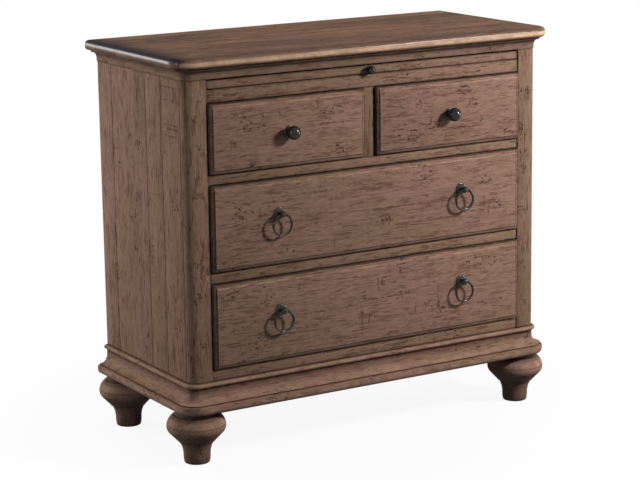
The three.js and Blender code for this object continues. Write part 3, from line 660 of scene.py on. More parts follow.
def edge_marks(tree, place):
    """Masks of the edges, of the glaze with its painted shade and of the wear with its painted
    highlights, by name.
    """
    return use_group(tree, "Board edges", build_edges, {"Place": place})


def bump_from(tree, shader, height, depth):
    """Feeds a height to the shader's normal."""
    bump = add_node(tree, "ShaderNodeBump", {"Height": height, "Strength": 1.0, "Distance": depth})
    feed(tree, shader.inputs["Normal"], bump.outputs["Normal"])


def groove_places(node):
    """Where the V joints of a side panel run, as places along Y, read off the panel itself."""
    low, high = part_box(node)
    outer = low.x if high.x < 0.0 else high.x
    places = {
        round(vertex.co.y, 4) for vertex in frame["nodes"][node].data.vertices
        if GROOVE_DEPTH < abs(vertex.co.x - outer) < 2.0 * GROOVE_DEPTH
        and low.y + GROOVE_DEPTH < vertex.co.y < high.y - GROOVE_DEPTH
    }
    return sorted(places)


def on_boards(nodes, across, up):
    """Whether a place on the front, across and up from the floor, lies on one of the boards."""
    boxes = [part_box(node) for node in nodes]
    return any(low.x <= across <= high.x and low.z <= up <= high.z for low, high in boxes)


def chosen_spots(tree, place, spots):
    """How near a place is to any of the chosen spots of worm holes, each a place and a reach."""
    nearest = 0.0
    for across, up, reach in spots:
        inputs = {"Place": place, "Centre": (across, 0.0, up), "Reach": reach}
        near = use_group(tree, "Near a spot", build_spots, inputs)
        nearest = calc(tree, "MAXIMUM", near[0], nearest)
    return nearest


def chosen_cuts(tree, place, cuts):
    """Mask of cuts and cracks, each a centre and its reach, wavering a little and broken up."""
    waver = add_node(tree, "ShaderNodeTexNoise", {"Vector": place, "Scale": 70.0, "Detail": 2.0})
    waver = calc_vector(tree, "SUBTRACT", waver.outputs["Color"], (0.5, 0.5, 0.5))
    place = calc_vector(tree, "ADD", place, stretched(tree, waver, (CUT_WAVER,) * 3))
    total = 0.0
    for centre, reach in cuts:
        cut = use_group(tree, "Cut", build_cut, {"Place": place, "Centre": centre, "Reach": reach})
        total = calc(tree, "MAXIMUM", cut[0], total)
    broken = noise_at(tree, place, 130.0, 2.0, 0.6)
    return calc(tree, "MULTIPLY", total, between(tree, broken, 0.36, 0.58, 0.15, 1.0))


def drawer_cuts(tree, place, nodes):
    """Mask of the cracks along a drawer front and the saw marks across it."""
    cuts = [((across, 0.0, up), (half, CUT_DEPTH, CUT_WIDTH)) for across, up, half in CRACKS]
    cuts += [((across, 0.0, up), (CUT_WIDTH, CUT_DEPTH, half)) for across, up, half in SAW_CUTS]
    own = [cut for cut in cuts if on_boards(nodes, cut[0][0], cut[0][2])]
    return chosen_cuts(tree, place, own)


def side_cuts(tree, place):
    """Mask of the saw marks across the front plank of a side panel."""
    plank_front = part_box("side_panel_left")[0].y
    plank_back = groove_places("side_panel_left")[0]
    middle = (plank_front + plank_back) / 2.0
    reach = (CUT_DEPTH, (plank_back - plank_front) / 2.0, CUT_WIDTH)
    return chosen_cuts(tree, place, [((0.0, middle, up), reach) for up in SIDE_CUTS])


# The moulded edge of a drawer front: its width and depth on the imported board, the share of that
# width that shows, and where its quirk runs as a share of the width
EDGE_WIDTH = 0.0113
EDGE_DEPTH = 0.0085
EDGE_SHARE = 0.70
QUIRK_SHARE = 0.88

# How glaze, painted shade and painted highlight lie on each side of that edge: side and axis,
# glaze and painted shade of the lip, painted shade of the whole band, glaze and painted shade of
# the quirk, and wear and painted highlight of the crest. The left and lower sides are painted
# darkest and the upper crest lightest, as the light falls.
EDGE_SHADE_AND_HIGHLIGHT = (
    ("from_low", "X", 0.80, 0.70, 0.74, 0.40),
    ("from_low", "Z", 0.62, 0.38, 0.62, 0.10),
    ("to_high", "X", 0.70, 0.15, 0.55, 0.10),
    ("to_high", "Z", 0.75, 0.00, 0.00, 0.80),
)

# Distances between which those marks fade, and how far the crest lies in from the band
BAND_FADE = 0.0010
QUIRK_FADE = (0.0008, 0.0020)
LIP_FADE = (0.0014, 0.0030)
CREST_FADE = (0.0008, 0.0024)
CREST_INSET = 0.0006


def drawer_edge_shade_and_highlight(tree):
    """Masks of glaze with painted shade and of wear with painted highlight on the moulded edge of
    a drawer front. Painted shade fills the left and lower edges and marks the right one in its
    quirk, and a painted highlight lies along the upper crest."""
    spans = dict(zip(("from_low", "to_high"), board_sides(tree)))
    band_width = EDGE_WIDTH * EDGE_SHARE
    quirk_place = band_width * QUIRK_SHARE
    glaze = 0.0
    rub = 0.0
    for side, axis, lip_glaze_and_shade, band_glaze_and_shade, quirk_glaze_and_shade, crest_wear_and_highlight in EDGE_SHADE_AND_HIGHLIGHT:
        across = spans[side][axis]
        band = between(tree, across, band_width - BAND_FADE, band_width, band_glaze_and_shade, 0.0)
        quirk = between(tree, apart(tree, across, quirk_place), *QUIRK_FADE, quirk_glaze_and_shade, 0.0)
        lip = between(tree, across, *LIP_FADE, lip_glaze_and_shade, 0.0)
        for mask in (band, quirk, lip):
            glaze = calc(tree, "MAXIMUM", mask, glaze)
        crest = between(
            tree, apart(tree, across, band_width + CREST_INSET), *CREST_FADE, crest_wear_and_highlight, 0.0)
        rub = calc(tree, "MAXIMUM", crest, rub)
    return glaze, rub


def plank_joints(tree, place):
    """Number of the plank that a place on a side panel lies on, and a mask of the joints."""
    across = split(tree, place)["Y"]
    plank = 0.0
    joint = 0.0
    for joint_y in groove_places("side_panel_left"):
        plank = calc(tree, "ADD", plank, calc(tree, "GREATER_THAN", across, joint_y))
        near = between(tree, apart(tree, across, joint_y), *PLANK_JOINT)
        joint = calc(tree, "MAXIMUM", near, joint)
    uneven = noise_at(tree, stretched(tree, place, (1.0, 9.0, 26.0)), 1.0, 3.0, 0.65)
    return plank, calc(tree, "MULTIPLY", joint, between(tree, uneven, 0.36, 0.60, 0.12, 0.80))


def body_wood(along, kind="board", nodes=()):
    """Worn, glazed taupe wood of the case, with painted shade in its glaze and painted highlights
    in its wear. The kinds are board, post, planks for the side panels, drawer for the drawer
    fronts, moulding, plinth and turned. Marks chosen one by one are laid on the nodes named."""
    name = "_".join(("body_wood", kind, along, *nodes[:1]))
    if name in bpy.data.materials:
        return bpy.data.materials[name]
    look = bpy.context.scene.chest_finish
    material, tree, shader = finish_tree(name)
    place, turned = grain_place(tree, along)
    board = carried(tree, "board")
    joints = 0.0
    cuts = 0.0
    crowding = BOARD_CROWDING
    near = 0.0
    if kind == "planks":
        plank, joints = plank_joints(tree, place)
        board = calc(tree, "ADD", board, plank)
        cuts = side_cuts(tree, place)
        axes = split(tree, place)
        near = chosen_spots(tree, join(tree, axes["Y"], 0.0, axes["Z"]), SIDE_SPOTS)
    if kind == "drawer":
        cuts = drawer_cuts(tree, place, nodes)
    if kind in {"moulding", "plinth", "turned"}:
        crowding = WORKED_CROWDING
    if nodes:
        near = chosen_spots(tree, place, [spot for spot in WORM_SPOTS if on_boards(nodes, *spot[:2])])
    crowding = calc(tree, "MULTIPLY_ADD", near, SPOT_CROWDING, crowding)
    marks = wood_marks(tree, turned, board, crowding)
    marks |= {"Cuts": cuts, "Joints": joints}
    edges = edge_marks(tree, place)

    even, varied = PINK_SHARES.get(kind, OTHER_PINK_SHARES)
    pink = calc(tree, "MULTIPLY_ADD", marks["Tone"], varied, even)
    base = blend_colours(tree, pink, look.body_dark, look.body_light)
    base = streaked(tree, base, marks["Streaks"], *BODY_STREAKS)
    line_share = LINE_SHARES.get(kind, OTHER_LINE_SHARE)
    shares = {**BODY_LINE_SHARES, "Lines": line_share, "Saw": SAW_SHARE * line_share, **BODY_CUT_SHARES}
    base = lay_on(tree, base, marks, shares, look.body_line)
    base = lay_on(tree, base, marks, BODY_MARK_SHARES, look.mark)

    # Drawer fronts take the painted shade and highlight of their moulded edges; other boards take glaze
    # and painted shade along every edge and gap.
    if kind == "drawer":
        glaze, rub = drawer_edge_shade_and_highlight(tree)
    else:
        glaze = between(tree, edges["Distance"], *BOARD_GLAZE_AND_SHADE)
        rub = between(tree, edges["Distance"], *BOARD_RUB)
    glaze = calc(tree, "MAXIMUM", glaze, edges["Glaze"])
    rub = calc(tree, "MAXIMUM", rub, edges["Rub"])
    glaze = weakened(tree, glaze, edges["Patchy"], *GLAZE_AND_SHADE_PATCHES)
    rub = weakened(tree, rub, edges["Patchy"], *WEAR_AND_HIGHLIGHT_PATCHES)
    # Wear and painted highlights lighten the wood, then glaze and painted shade darken it; on the plinth
    # that shade takes the colour of the marks.
    base = blend_colours(tree, rub, base, look.rub)
    base = blend_colours(tree, glaze, base, look.mark if kind == "plinth" else look.glaze)
    feed(tree, shader.inputs["Base Color"], base)

    rough = add_up(tree, 1.0 - look.body_gloss, marks, BODY_ROUGH_GAINS)
    feed(tree, shader.inputs["Roughness"], rough)
    shader.inputs["Specular IOR Level"].default_value = BODY_SPECULAR
    low = add_up(tree, marks["Holes"], marks, BODY_DEPTH_SHARES)
    bump_from(tree, shader, calc(tree, "MULTIPLY", low, -1.0), BODY_DEPTH)
    return material


def top_wood():
    """Reddish brown wood of the top, in planks that run across. Slate glaze with painted shade
    borders it, darkest along the left, and the polished nosing shows tan wood where it is
    rubbed, with a painted highlight along its crest that grows towards the right."""
    name = "worn_top_wood"
    if name in bpy.data.materials:
        return bpy.data.materials[name]
    look = bpy.context.scene.chest_finish
    material, tree, shader = finish_tree(name)
    place, turned = grain_place(tree, "x")
    row = calc(tree, "ADD", split(tree, place)["Y"], TOP_PLANK_OFFSET)
    row = calc(tree, "DIVIDE", row, TOP_PLANK_WIDTH)
    plank = calc(tree, "FLOOR", row)
    joints = between(tree, apart(tree, calc(tree, "FRACT", row), 0.5), TOP_JOINT_SHARE, 0.5)
    marks = wood_marks(tree, turned, plank, TOP_CROWDING)
    marks |= {"Joints": joints}
    edges = edge_marks(tree, place)
    own = add_node(tree, "ShaderNodeTexWhiteNoise", {"W": plank}, noise_dimensions="1D").outputs["Value"]

    tone = calc(tree, "MULTIPLY_ADD", own, 0.40, calc(tree, "MULTIPLY", marks["Tone"], 0.60))
    base = blend_colours(tree, tone, look.top_dark, look.top_light)
    base = streaked(tree, base, marks["Streaks"], *TOP_STREAKS)
    base = lay_on(tree, base, marks, TOP_SHARES, look.mark)
    # The slate border is glaze and painted shade, and the tan of the nosing is wear and a painted
    # highlight.
    rub = weakened(tree, edges["Rub"], edges["Patchy"], *TOP_WEAR_AND_HIGHLIGHT_PATCHES)
    base = blend_colours(tree, edges["Glaze"], base, look.top_edge)
    base = blend_colours(tree, rub, base, look.top_wear_and_highlight)
    feed(tree, shader.inputs["Base Color"], base)

    rough = add_up(tree, 1.0 - look.top_gloss, marks, TOP_ROUGH_GAINS)
    feed(tree, shader.inputs["Roughness"], rough)
    feed(tree, shader.inputs["Coat Weight"], carried(tree, "polish"))
    shader.inputs["Specular IOR Level"].default_value = TOP_SPECULAR
    shader.inputs["Coat Roughness"].default_value = POLISH_ROUGHNESS
    low = add_up(tree, joints, marks, TOP_DEPTH_SHARES)
    bump_from(tree, shader, calc(tree, "MULTIPLY", low, -1.0), TOP_DEPTH)
    return material


def plain_wood(kind, along):
    """Unstained wood of the drawer boxes and inner panels, with fine grain and a few pores."""
    name = f"{kind}_wood_{along}"
    if name in bpy.data.materials:
        return bpy.data.materials[name]
    look = bpy.context.scene.chest_finish
    material, tree, shader = finish_tree(name)
    place, turned = grain_place(tree, along)
    inputs = {"Place": turned, "Board": carried(tree, "board")}
    grain = use_group(tree, "Wood grain", build_grain, inputs)
    edges = edge_marks(tree, place)
    light = getattr(look, f"{kind}_light")
    dark = getattr(look, f"{kind}_dark")
    base = blend_colours(tree, grain["Tone"], dark, light)
    base = streaked(tree, base, grain["Streaks"], *PLAIN_STREAKS)
    base = lay_on(tree, base, grain, PLAIN_SHARES, look.body_line)
    grime = calc(tree, "MULTIPLY", between(tree, edges["Patchy"], 0.55, 1.0), GRIME_SHARE)
    feed(tree, shader.inputs["Base Color"], blend_colours(tree, grime, base, look.body_dark))
    rough = add_up(tree, PLAIN_ROUGHNESS, grain, PLAIN_ROUGH_GAINS)
    feed(tree, shader.inputs["Roughness"], rough)
    shader.inputs["Specular IOR Level"].default_value = PLAIN_SPECULAR
    low = add_up(tree, 0.0, grain, PLAIN_DEPTH_SHARES)
    bump_from(tree, shader, calc(tree, "MULTIPLY", low, -1.0), PLAIN_DEPTH)
    return material


def dark_metal():
    """Near-black oiled metal with a green cast, mottled, and rubbed brighter in places."""
    name = "oiled_dark_metal"
    if name in bpy.data.materials:
        return bpy.data.materials[name]
    look = bpy.context.scene.chest_finish
    material, tree, shader = finish_tree(name)
    place = add_node(tree, "ShaderNodeTexCoord").outputs["Object"]
    edges = edge_marks(tree, place)
    mottle = between(tree, noise_at(tree, place, 320.0, 3.0, 0.6), 0.40, 0.62)
    fine = noise_at(tree, place, 1500.0, 2.0, 0.6)
    base = blend_colours(tree, calc(tree, "MULTIPLY", mottle, 0.05), look.metal, look.metal_rub)
    rub = weakened(tree, edges["Rub"], mottle, *METAL_WEAR_AND_HIGHLIGHT_PATCHES)
    feed(tree, shader.inputs["Base Color"], blend_colours(tree, rub, base, look.metal_rub))
    feed(tree, shader.inputs["Metallic"], between(tree, edges["Rub"], 0.35, 0.80, 0.0, 0.8))
    shader.inputs["Specular IOR Level"].default_value = METAL_SPECULAR
    rough = calc(tree, "MULTIPLY_ADD", mottle, METAL_MOTTLE_GAIN, METAL_ROUGHNESS)
    rough = calc(tree, "MULTIPLY_ADD", fine, METAL_FINE_GAIN, rough)
    feed(tree, shader.inputs["Roughness"], rough)
    bump_from(tree, shader, calc(tree, "MULTIPLY_ADD", mottle, 0.6, fine), METAL_DEPTH)
    return material


# Small tools for building meshes

# Where a piece's wear is drawn from, times its seed, and how knocks lie in the slower wear: how
# much finer they are, how few, and how deep
WEAR_START = (1.7, 2.9, 0.6)
KNOCK_FINENESS = 3.1
KNOCK_THRESHOLD = 0.32
KNOCK_GAIN = 3.0


def add_object(name, data):
    """A new object at the origin of the scene."""
    made = bpy.data.objects.new(name, data)
    bpy.context.scene.collection.objects.link(made)
    return made


def set_values(mesh, name, values):
    """Writes one number for each vertex as a named attribute."""
    attribute = mesh.attributes.get(name) or mesh.attributes.new(name, "FLOAT", "POINT")
    attribute.data.foreach_set("value", list(values))


def set_vectors(mesh, name, vectors):
    """Writes one vector for each vertex as a named attribute."""
    attribute = mesh.attributes.get(name) or mesh.attributes.new(name, "FLOAT_VECTOR", "POINT")
    attribute.data.foreach_set("vector", [value for vector in vectors for value in vector])


def note_board_sides(mesh, low, high):
    """Tells the finish how far each vertex lies from the board's low and high sides."""
    set_vectors(mesh, "from_low", [vertex.co - low for vertex in mesh.vertices])
    set_vectors(mesh, "to_high", [high - vertex.co for vertex in mesh.vertices])


def show_piece(mesh, node, material, ending="worn"):
    """Makes a mesh the visible piece that stands for a node of the frame, on the same body, with
    smooth shading and crisp corners."""
    name = f"{node}_{ending}"
    mesh.name = name
    mesh.materials.clear()
    mesh.materials.append(material)
    mesh.shade_smooth()
    mesh.set_sharp_from_angle(angle=SHARP_ANGLE)
    piece = add_object(name, mesh)
    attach(piece, BODY_OF_NODE[node])
    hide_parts(node)


def narrow_edge(shape, low, high):
    """Draws the moulded edge of a drawer front in towards the board's sides."""
    for vertex in shape.verts:
        if vertex.co.y < low.y + EDGE_DEPTH:
            for axis in (0, 2):
                near = low[axis] if vertex.co[axis] < (low[axis] + high[axis]) / 2.0 else high[axis]
                inset = vertex.co[axis] - near
                if abs(inset) < EDGE_WIDTH + MERGE_DISTANCE:
                    vertex.co[axis] = near + inset * EDGE_SHARE


def worn_board(node, material, board, ease=None, moulded=False, ends=None):
    """Copies a board of the frame, eases its outer edges and gives it a finish that is drawn by
    the board's number. A board with ends given reaches to those two places across the chest."""
    sizes = bpy.context.scene.chest_sizes
    low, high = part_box(node)
    mesh = frame["nodes"][node].data.copy()
    shape = bmesh.new()
    shape.from_mesh(mesh)
    bmesh.ops.remove_doubles(shape, verts=shape.verts, dist=MERGE_DISTANCE)
    bmesh.ops.dissolve_limit(
        shape, angle_limit=FLAT_ANGLE, verts=shape.verts, edges=shape.edges,
        use_dissolve_boundaries=False, delimit={"NORMAL"})
    if moulded:
        narrow_edge(shape, low, high)
    if ends:
        for vertex in shape.verts:
            vertex.co.x = ends[0] if vertex.co.x < 0.0 else ends[1]
        low = Vector((ends[0], low.y, low.z))
        high = Vector((ends[1], high.y, high.z))
    outer = [
        edge for edge in shape.edges
        if edge.is_manifold and edge.is_convex and edge.calc_face_angle() > SHARP_ANGLE
    ]
    bmesh.ops.bevel(
        shape, geom=outer, offset=ease or sizes.board_ease, offset_type="OFFSET", segments=2,
        profile=0.5, affect="EDGES", clamp_overlap=True)
    shape.to_mesh(mesh)
    shape.free()
    note_board_sides(mesh, low, high)
    set_values(mesh, "board", [board] * len(mesh.vertices))
    show_piece(mesh, node, material)


def weather(mesh, depth, size, seed):
    """Wears the rubbed vertices of a mesh in by an uneven depth, square to the surface. The caps
    at the ends of a moulding don't count, so that its mitres stay closed."""
    rub = [0.0] * len(mesh.vertices)
    mesh.attributes["rub"].data.foreach_get("value", rub)
    start = Vector([seed * amount for amount in WEAR_START])
    inward = [Vector() for _ in mesh.vertices]
    for face in mesh.polygons:
        if len(face.vertices) <= 4:
            for index in face.vertices:
                inward[index] -= face.normal
    for vertex, amount, direction in zip(mesh.vertices, rub, inward):
        place = vertex.co / size + start
        slow = max(0.0, noise.noise(place))
        knock = max(0.0, noise.noise(place * KNOCK_FINENESS) - KNOCK_THRESHOLD) * KNOCK_GAIN
        vertex.co += direction.normalized() * (depth * amount * (slow + knock))
    mesh.update()


def arc(centre, radii, start, end, steps):
    """Points of an elliptical arc, from one angle in degrees to another."""
    points = []
    for step in range(steps + 1):
        angle = math.radians(start + (end - start) * step / steps)
        points.append((centre[0] + radii[0] * math.cos(angle), centre[1] + radii[1] * math.sin(angle)))
    return points


def curve(start, control, end, steps):
    """Points of a quadratic curve."""
    points = []
    for step in range(steps + 1):
        share_along = step / steps
        back = 1.0 - share_along
        points.append(tuple(
            back * back * start[axis] + 2.0 * back * share_along * control[axis]
            + share_along * share_along * end[axis] for axis in (0, 1)))
    return points


def crest_at(place, middle, reach, height=1.0):
    """Height of a crest that falls off evenly to both sides of its middle, down to nothing."""
    return max(0.0, height - abs(place - middle) / reach)


# Node trees that make the mouldings and the turned pieces

# Turn that points a piece's axis out of the front
OUTWARDS = (math.pi / 2.0, 0.0, 0.0)

# Steps round a ring, its wire, a foot, a knob and a pull's post
RING_STEPS = 72
WIRE_STEPS = 20
FOOT_STEPS = 72
KNOB_STEPS = 48
POST_STEPS = 40


def section_object(name, section, closed):
    """A profile as a line object. A section holds points of (out, up, glaze with painted shade,
    wear with painted highlight).
    """
    mesh = bpy.data.meshes.new(name)
    edges = [(index, index + 1) for index in range(len(section) - 1)]
    if closed:
        edges.append((len(section) - 1, 0))
    mesh.from_pydata([(out, -up, 0.0) for out, up, _, _ in section], edges, [])
    set_values(mesh, "glaze", [point[2] for point in section])
    set_values(mesh, "rub", [point[3] for point in section])
    return add_object(name, mesh)


def marked(points, glaze, rub=0.0):
    """Points of a section that all hold the same glaze with painted shade and the same wear
    with painted highlight.
    """
    return [(out, up, glaze, rub) for out, up in points]


def geometry_tree(name, inputs):
    """A geometry node tree that changes one geometry, with further named inputs."""
    geometry = {"Geometry": "Geometry"}
    return new_tree(name, "GeometryNodeTree", {**geometry, **inputs}, geometry)


def form(tree, kind, inputs, **settings):
    """A geometry node, by the end of its kind's name. Gives what the node makes."""
    return add_node(tree, f"GeometryNode{kind}", inputs, **settings).outputs[0]


def close_tree(tree, source, sink, geometry):
    """Ends a tree in real geometry with its material set."""
    real = form(tree, "RealizeInstances", {"Geometry": geometry})
    done = form(tree, "SetMaterial", {"Geometry": real, "Material": source["Material"]})
    feed(tree, sink.inputs["Geometry"], done)


def build_moulding_tree(name):
    """Runs a closed section along a path that lies level, with its ends capped."""
    tree, source, sink = geometry_tree(name, {"Section": "Object", "Material": "Material"})
    path = form(tree, "MeshToCurve", {"Mesh": source["Geometry"]})
    level = form(tree, "SetCurveNormal", {"Curve": path}, mode="Z_UP")
    section = add_node(tree, "GeometryNodeObjectInfo", {"Object": source["Section"]})
    outline = form(tree, "MeshToCurve", {"Mesh": section.outputs["Geometry"]})
    run = form(tree, "CurveToMesh", {"Curve": level, "Profile Curve": outline, "Fill Caps": True})
    close_tree(tree, source, sink, run)
    return tree


def build_turning_tree(name):
    """Turns a half section about its axis, then faces and places it; a bore can cross it."""
    tree, source, sink = geometry_tree(
        name, {"Steps": "Int", "Facing": "Rotation", "Place": "Vector", "Bore": "Bool",
               "Bore radius": "Float", "Bore height": "Float", "Bore length": "Float",
               "Material": "Material"})
    half = form(tree, "MeshToCurve", {"Mesh": source["Geometry"]})
    circle = form(
        tree, "CurvePrimitiveCircle", {"Resolution": source["Steps"], "Radius": MERGE_DISTANCE})
    turned = form(tree, "CurveToMesh", {"Curve": circle, "Profile Curve": half})
    closed = form(
        tree, "MergeByDistance", {"Geometry": turned, "Distance": TURNED_MERGE_DISTANCE})
    outward = form(tree, "FlipFaces", {"Mesh": closed})
    drill = form(
        tree, "MeshCylinder",
        {"Vertices": source["Steps"], "Radius": source["Bore radius"], "Depth": source["Bore length"]})
    across = form(
        tree, "Transform",
        {"Geometry": drill, "Rotation": (0.0, math.pi / 2, 0.0),
         "Translation": join(tree, 0.0, 0.0, source["Bore height"])})
    bored = form(
        tree, "MeshBoolean", {"Mesh 1": outward, "Mesh 2": across},
        operation="DIFFERENCE", solver="EXACT")
    either = form(
        tree, "Switch", {"Switch": source["Bore"], "False": outward, "True": bored},
        input_type="GEOMETRY")
    placed = form(
        tree, "Transform",
        {"Geometry": either, "Translation": source["Place"], "Rotation": source["Facing"]})
    close_tree(tree, source, sink, placed)
    return tree


def build_ring_tree(name):
    """A round ring of round wire, upright and facing the front."""
    tree, source, sink = geometry_tree(
        name, {"Radius": "Float", "Wire": "Float", "Place": "Vector", "Material": "Material"})
    path, wire = [
        form(tree, "CurvePrimitiveCircle", {"Resolution": steps, "Radius": source[label]})
        for label, steps in (("Radius", RING_STEPS), ("Wire", WIRE_STEPS))]
    ring = form(tree, "CurveToMesh", {"Curve": path, "Profile Curve": wire})
    upright = form(
        tree, "Transform",
        {"Geometry": ring, "Translation": source["Place"], "Rotation": OUTWARDS})
    close_tree(tree, source, sink, upright)
    return tree


def run_tree(carrier, tree, values):
    """Runs a node tree on an object, takes the result as a plain mesh and deletes the object."""
    modifier = carrier.modifiers.new("Shape", "NODES")
    modifier.node_group = tree
    for socket in tree.interface.items_tree:
        if socket.in_out == "INPUT" and socket.name in values:
            modifier[socket.identifier] = values[socket.name]
    bpy.context.view_layer.update()
    view = bpy.context.evaluated_depsgraph_get()
    mesh = bpy.data.meshes.new_from_object(
        carrier.evaluated_get(view), preserve_all_data_layers=True, depsgraph=view)
    carrier.modifiers.remove(modifier)
    bpy.data.objects.remove(carrier)
    return mesh


def face_outwards(mesh):
    """Merges doubled vertices and turns every face outwards."""
    shape = bmesh.new()
    shape.from_mesh(mesh)
    bmesh.ops.remove_doubles(shape, verts=shape.verts, dist=TURNED_MERGE_DISTANCE)
    bmesh.ops.recalc_face_normals(shape, faces=shape.faces)
    shape.to_mesh(mesh)
    shape.free()


def moulding(section, path, material):
    """A length of moulding as a mesh: a closed section run along a level path."""
    profile = section_object("moulding_section", section, closed=True)
    line = bpy.data.meshes.new("moulding_path")
    line.from_pydata(path, [(index, index + 1) for index in range(len(path) - 1)], [])
    tree = once("Moulding run", build_moulding_tree)
    inputs = {"Section": profile, "Material": material}
    mesh = run_tree(add_object("moulding_path", line), tree, inputs)
    bpy.data.objects.remove(profile)
    face_outwards(mesh)
    return mesh


def turned_piece(section, material, place, steps, facing=(0.0, 0.0, 0.0), bore=None):
    """A turned piece as a mesh. A bore is its radius, its height up the axis and its length."""
    carrier = section_object("turning_section", section, closed=False)
    tree = once("Turned piece", build_turning_tree)
    radius, height, long = bore or (0.001, 0.0, 0.001)
    mesh = run_tree(carrier, tree, {
        "Steps": steps, "Facing": Euler(facing), "Place": place, "Bore": bore is not None,
        "Bore radius": radius, "Bore height": height, "Bore length": long, "Material": material})
    face_outwards(mesh)
    return mesh


# Plan outline of the case

# Where a moulding's members meet, in degrees from the front, steps from there round half of a
# corner, and the spacing of the points along a straight stretch
MITRE_ANGLE = 45.0
MITRE_STEPS = 12
PATH_SPACING = 0.006


def front_corner(side):
    """Centre of the rounding of a front corner of the case."""
    low, high = case_box()
    radius = bpy.context.scene.chest_sizes.corner_radius
    return Vector((side * (high.x - radius), low.y + radius, 0.0))


def case_box():
    """Corners of the case itself: side panels and posts, without mouldings."""
    low = Vector((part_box("side_panel_left")[0].x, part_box("front_post_left")[0].y, 0.0))
    high = Vector((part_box("side_panel_right")[1].x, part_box("side_panel_left")[1].y, 0.0))
    return low, high


def corner_path(side, start, end, steps):
    """Points of the case line round a front corner, by angle in degrees from the front."""
    centre = front_corner(side)
    radius = bpy.context.scene.chest_sizes.corner_radius
    points = []
    for step in range(steps + 1):
        angle = math.radians(start + (end - start) * step / steps)
        points.append(centre + Vector((side * math.sin(angle), -math.cos(angle), 0.0)) * radius)
    return points


def straight(start, end):
    """Points between two ends, without the ends."""
    count = max(1, round((end - start).length / PATH_SPACING))
    return [start.lerp(end, step / count) for step in range(1, count)]


def squared(points, direction):
    """A path that ends in a very short stretch along a direction, so that its end is cut square
    to it and meets the next member of the moulding."""
    short = direction.normalized() * bpy.context.scene.chest_sizes.joint_gap
    return [*points[:-1], points[-1] - short, points[-1]]


def member_paths(family):
    """Paths of the left, front and right members of a moulding, mitred at the front corners."""
    back_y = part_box(f"{family}_left")[1].y
    side_paths = []
    half_fronts = []
    for side, corner in zip((-1, 1), case_box()):
        round_side = corner_path(side, 90.0, MITRE_ANGLE, MITRE_STEPS)
        round_front = corner_path(side, 0.0, MITRE_ANGLE, MITRE_STEPS)
        back = Vector((corner.x, back_y, 0.0))
        to_mitre = squared(round_side, Vector((-side, -1.0, 0.0)))
        side_paths.append([back, *straight(back, round_side[0]), *to_mitre])
        half_fronts.append(squared(round_front, Vector((side, 1.0, 0.0))))
    left, right = side_paths
    left_half, right_half = half_fronts
    front = [*left_half[::-1], *straight(left_half[0], right_half[0]), *right_half]
    return {"left": left, "front": front, "right": right[::-1]}


# Operators, one for each piece or group of like pieces

# Each board has a number that its grain is drawn by. These are the numbers of single boards, and
# the first ones of groups.
DRAWER_BOARDS = 0.0
POST_BOARDS = 1.0
SIDE_BOARDS = 4.0
RAIL_BOARDS = 7.0
STILE_BOARD = 11.0
BOTTOM_BOARD = 12.0
INNER_BOARDS = 20.0
COVE_BACK_BOARD = 26.0
TRAY_BOARDS = 30.0
BOX_BOARDS = 40.0
FOOT_BOARDS = 60.0
FOOT_BOARD_STEP = 1.3

# Seeds that wear is drawn by
TOP_WEAR = 3.0
BEAD_WEAR = 11.0
BASE_WEAR = 17.0
FOOT_WEAR = 23.0

# Rounding of the edges of drawer fronts and of drawer boxes
FRONT_EASE = 0.0004
BOX_EASE = 0.0005

# Where the top's edge is rubbed bare, with a painted highlight along that band: height of its
# middle and how fast the wear falls off from there, as shares of the thickness, and the wear in
# the middle, of which no more than 1 shows
CREST_SHARE = 0.46
CREST_REACH = 0.15
CREST_HEIGHT = 1.75

# The same of the polished line over it, and its strength along the left side and the front
POLISH_SHARE = 0.64
POLISH_REACH = 0.12
POLISH_HEIGHT = 1.6
LEFT_POLISH = 0.36
FRONT_POLISH = 0.34

# Slate glaze and painted shade of the nosing, and that of the top's upper face at distances in
# from the nosing
NOSING_GLAZE_AND_SHADE = 0.90
TOP_GLAZE_AND_SHADE = ((0.003, 0.85), (0.010, 0.75), (0.020, 0.55), (0.035, 0.28), (0.060, 0.0))

# What is kept of the wear and painted highlight of the nosing and of the glaze and painted
# shade inside it: along the left side, at the left end of the front, and what the way to the
# right end adds or takes. The painted highlight grows and the painted shade fades towards the
# right.
LEFT_WEAR_AND_HIGHLIGHT = 0.12
FRONT_WEAR_AND_HIGHLIGHT = 0.78
RIGHTWARD_HIGHLIGHT_GAIN = 0.22
LEFT_BORDER = 1.0
FRONT_BORDER = 0.70
RIGHTWARD_SHADE_LOSS = 0.62

# What is kept of the glaze and painted shade on the nosing: a share of its height, and what is
# kept below and above. The front nosing keeps its painted shade low under the edge, and the left
# one is painted lighter below.
LEFT_NOSING = (0.45, 0.62, 1.0)
FRONT_NOSING = (0.10, 1.0, 0.42)

# Spacing of the points along the edge of a slab, and steps round its corners
SLAB_SPACING = 0.008
SLAB_STEPS = 20


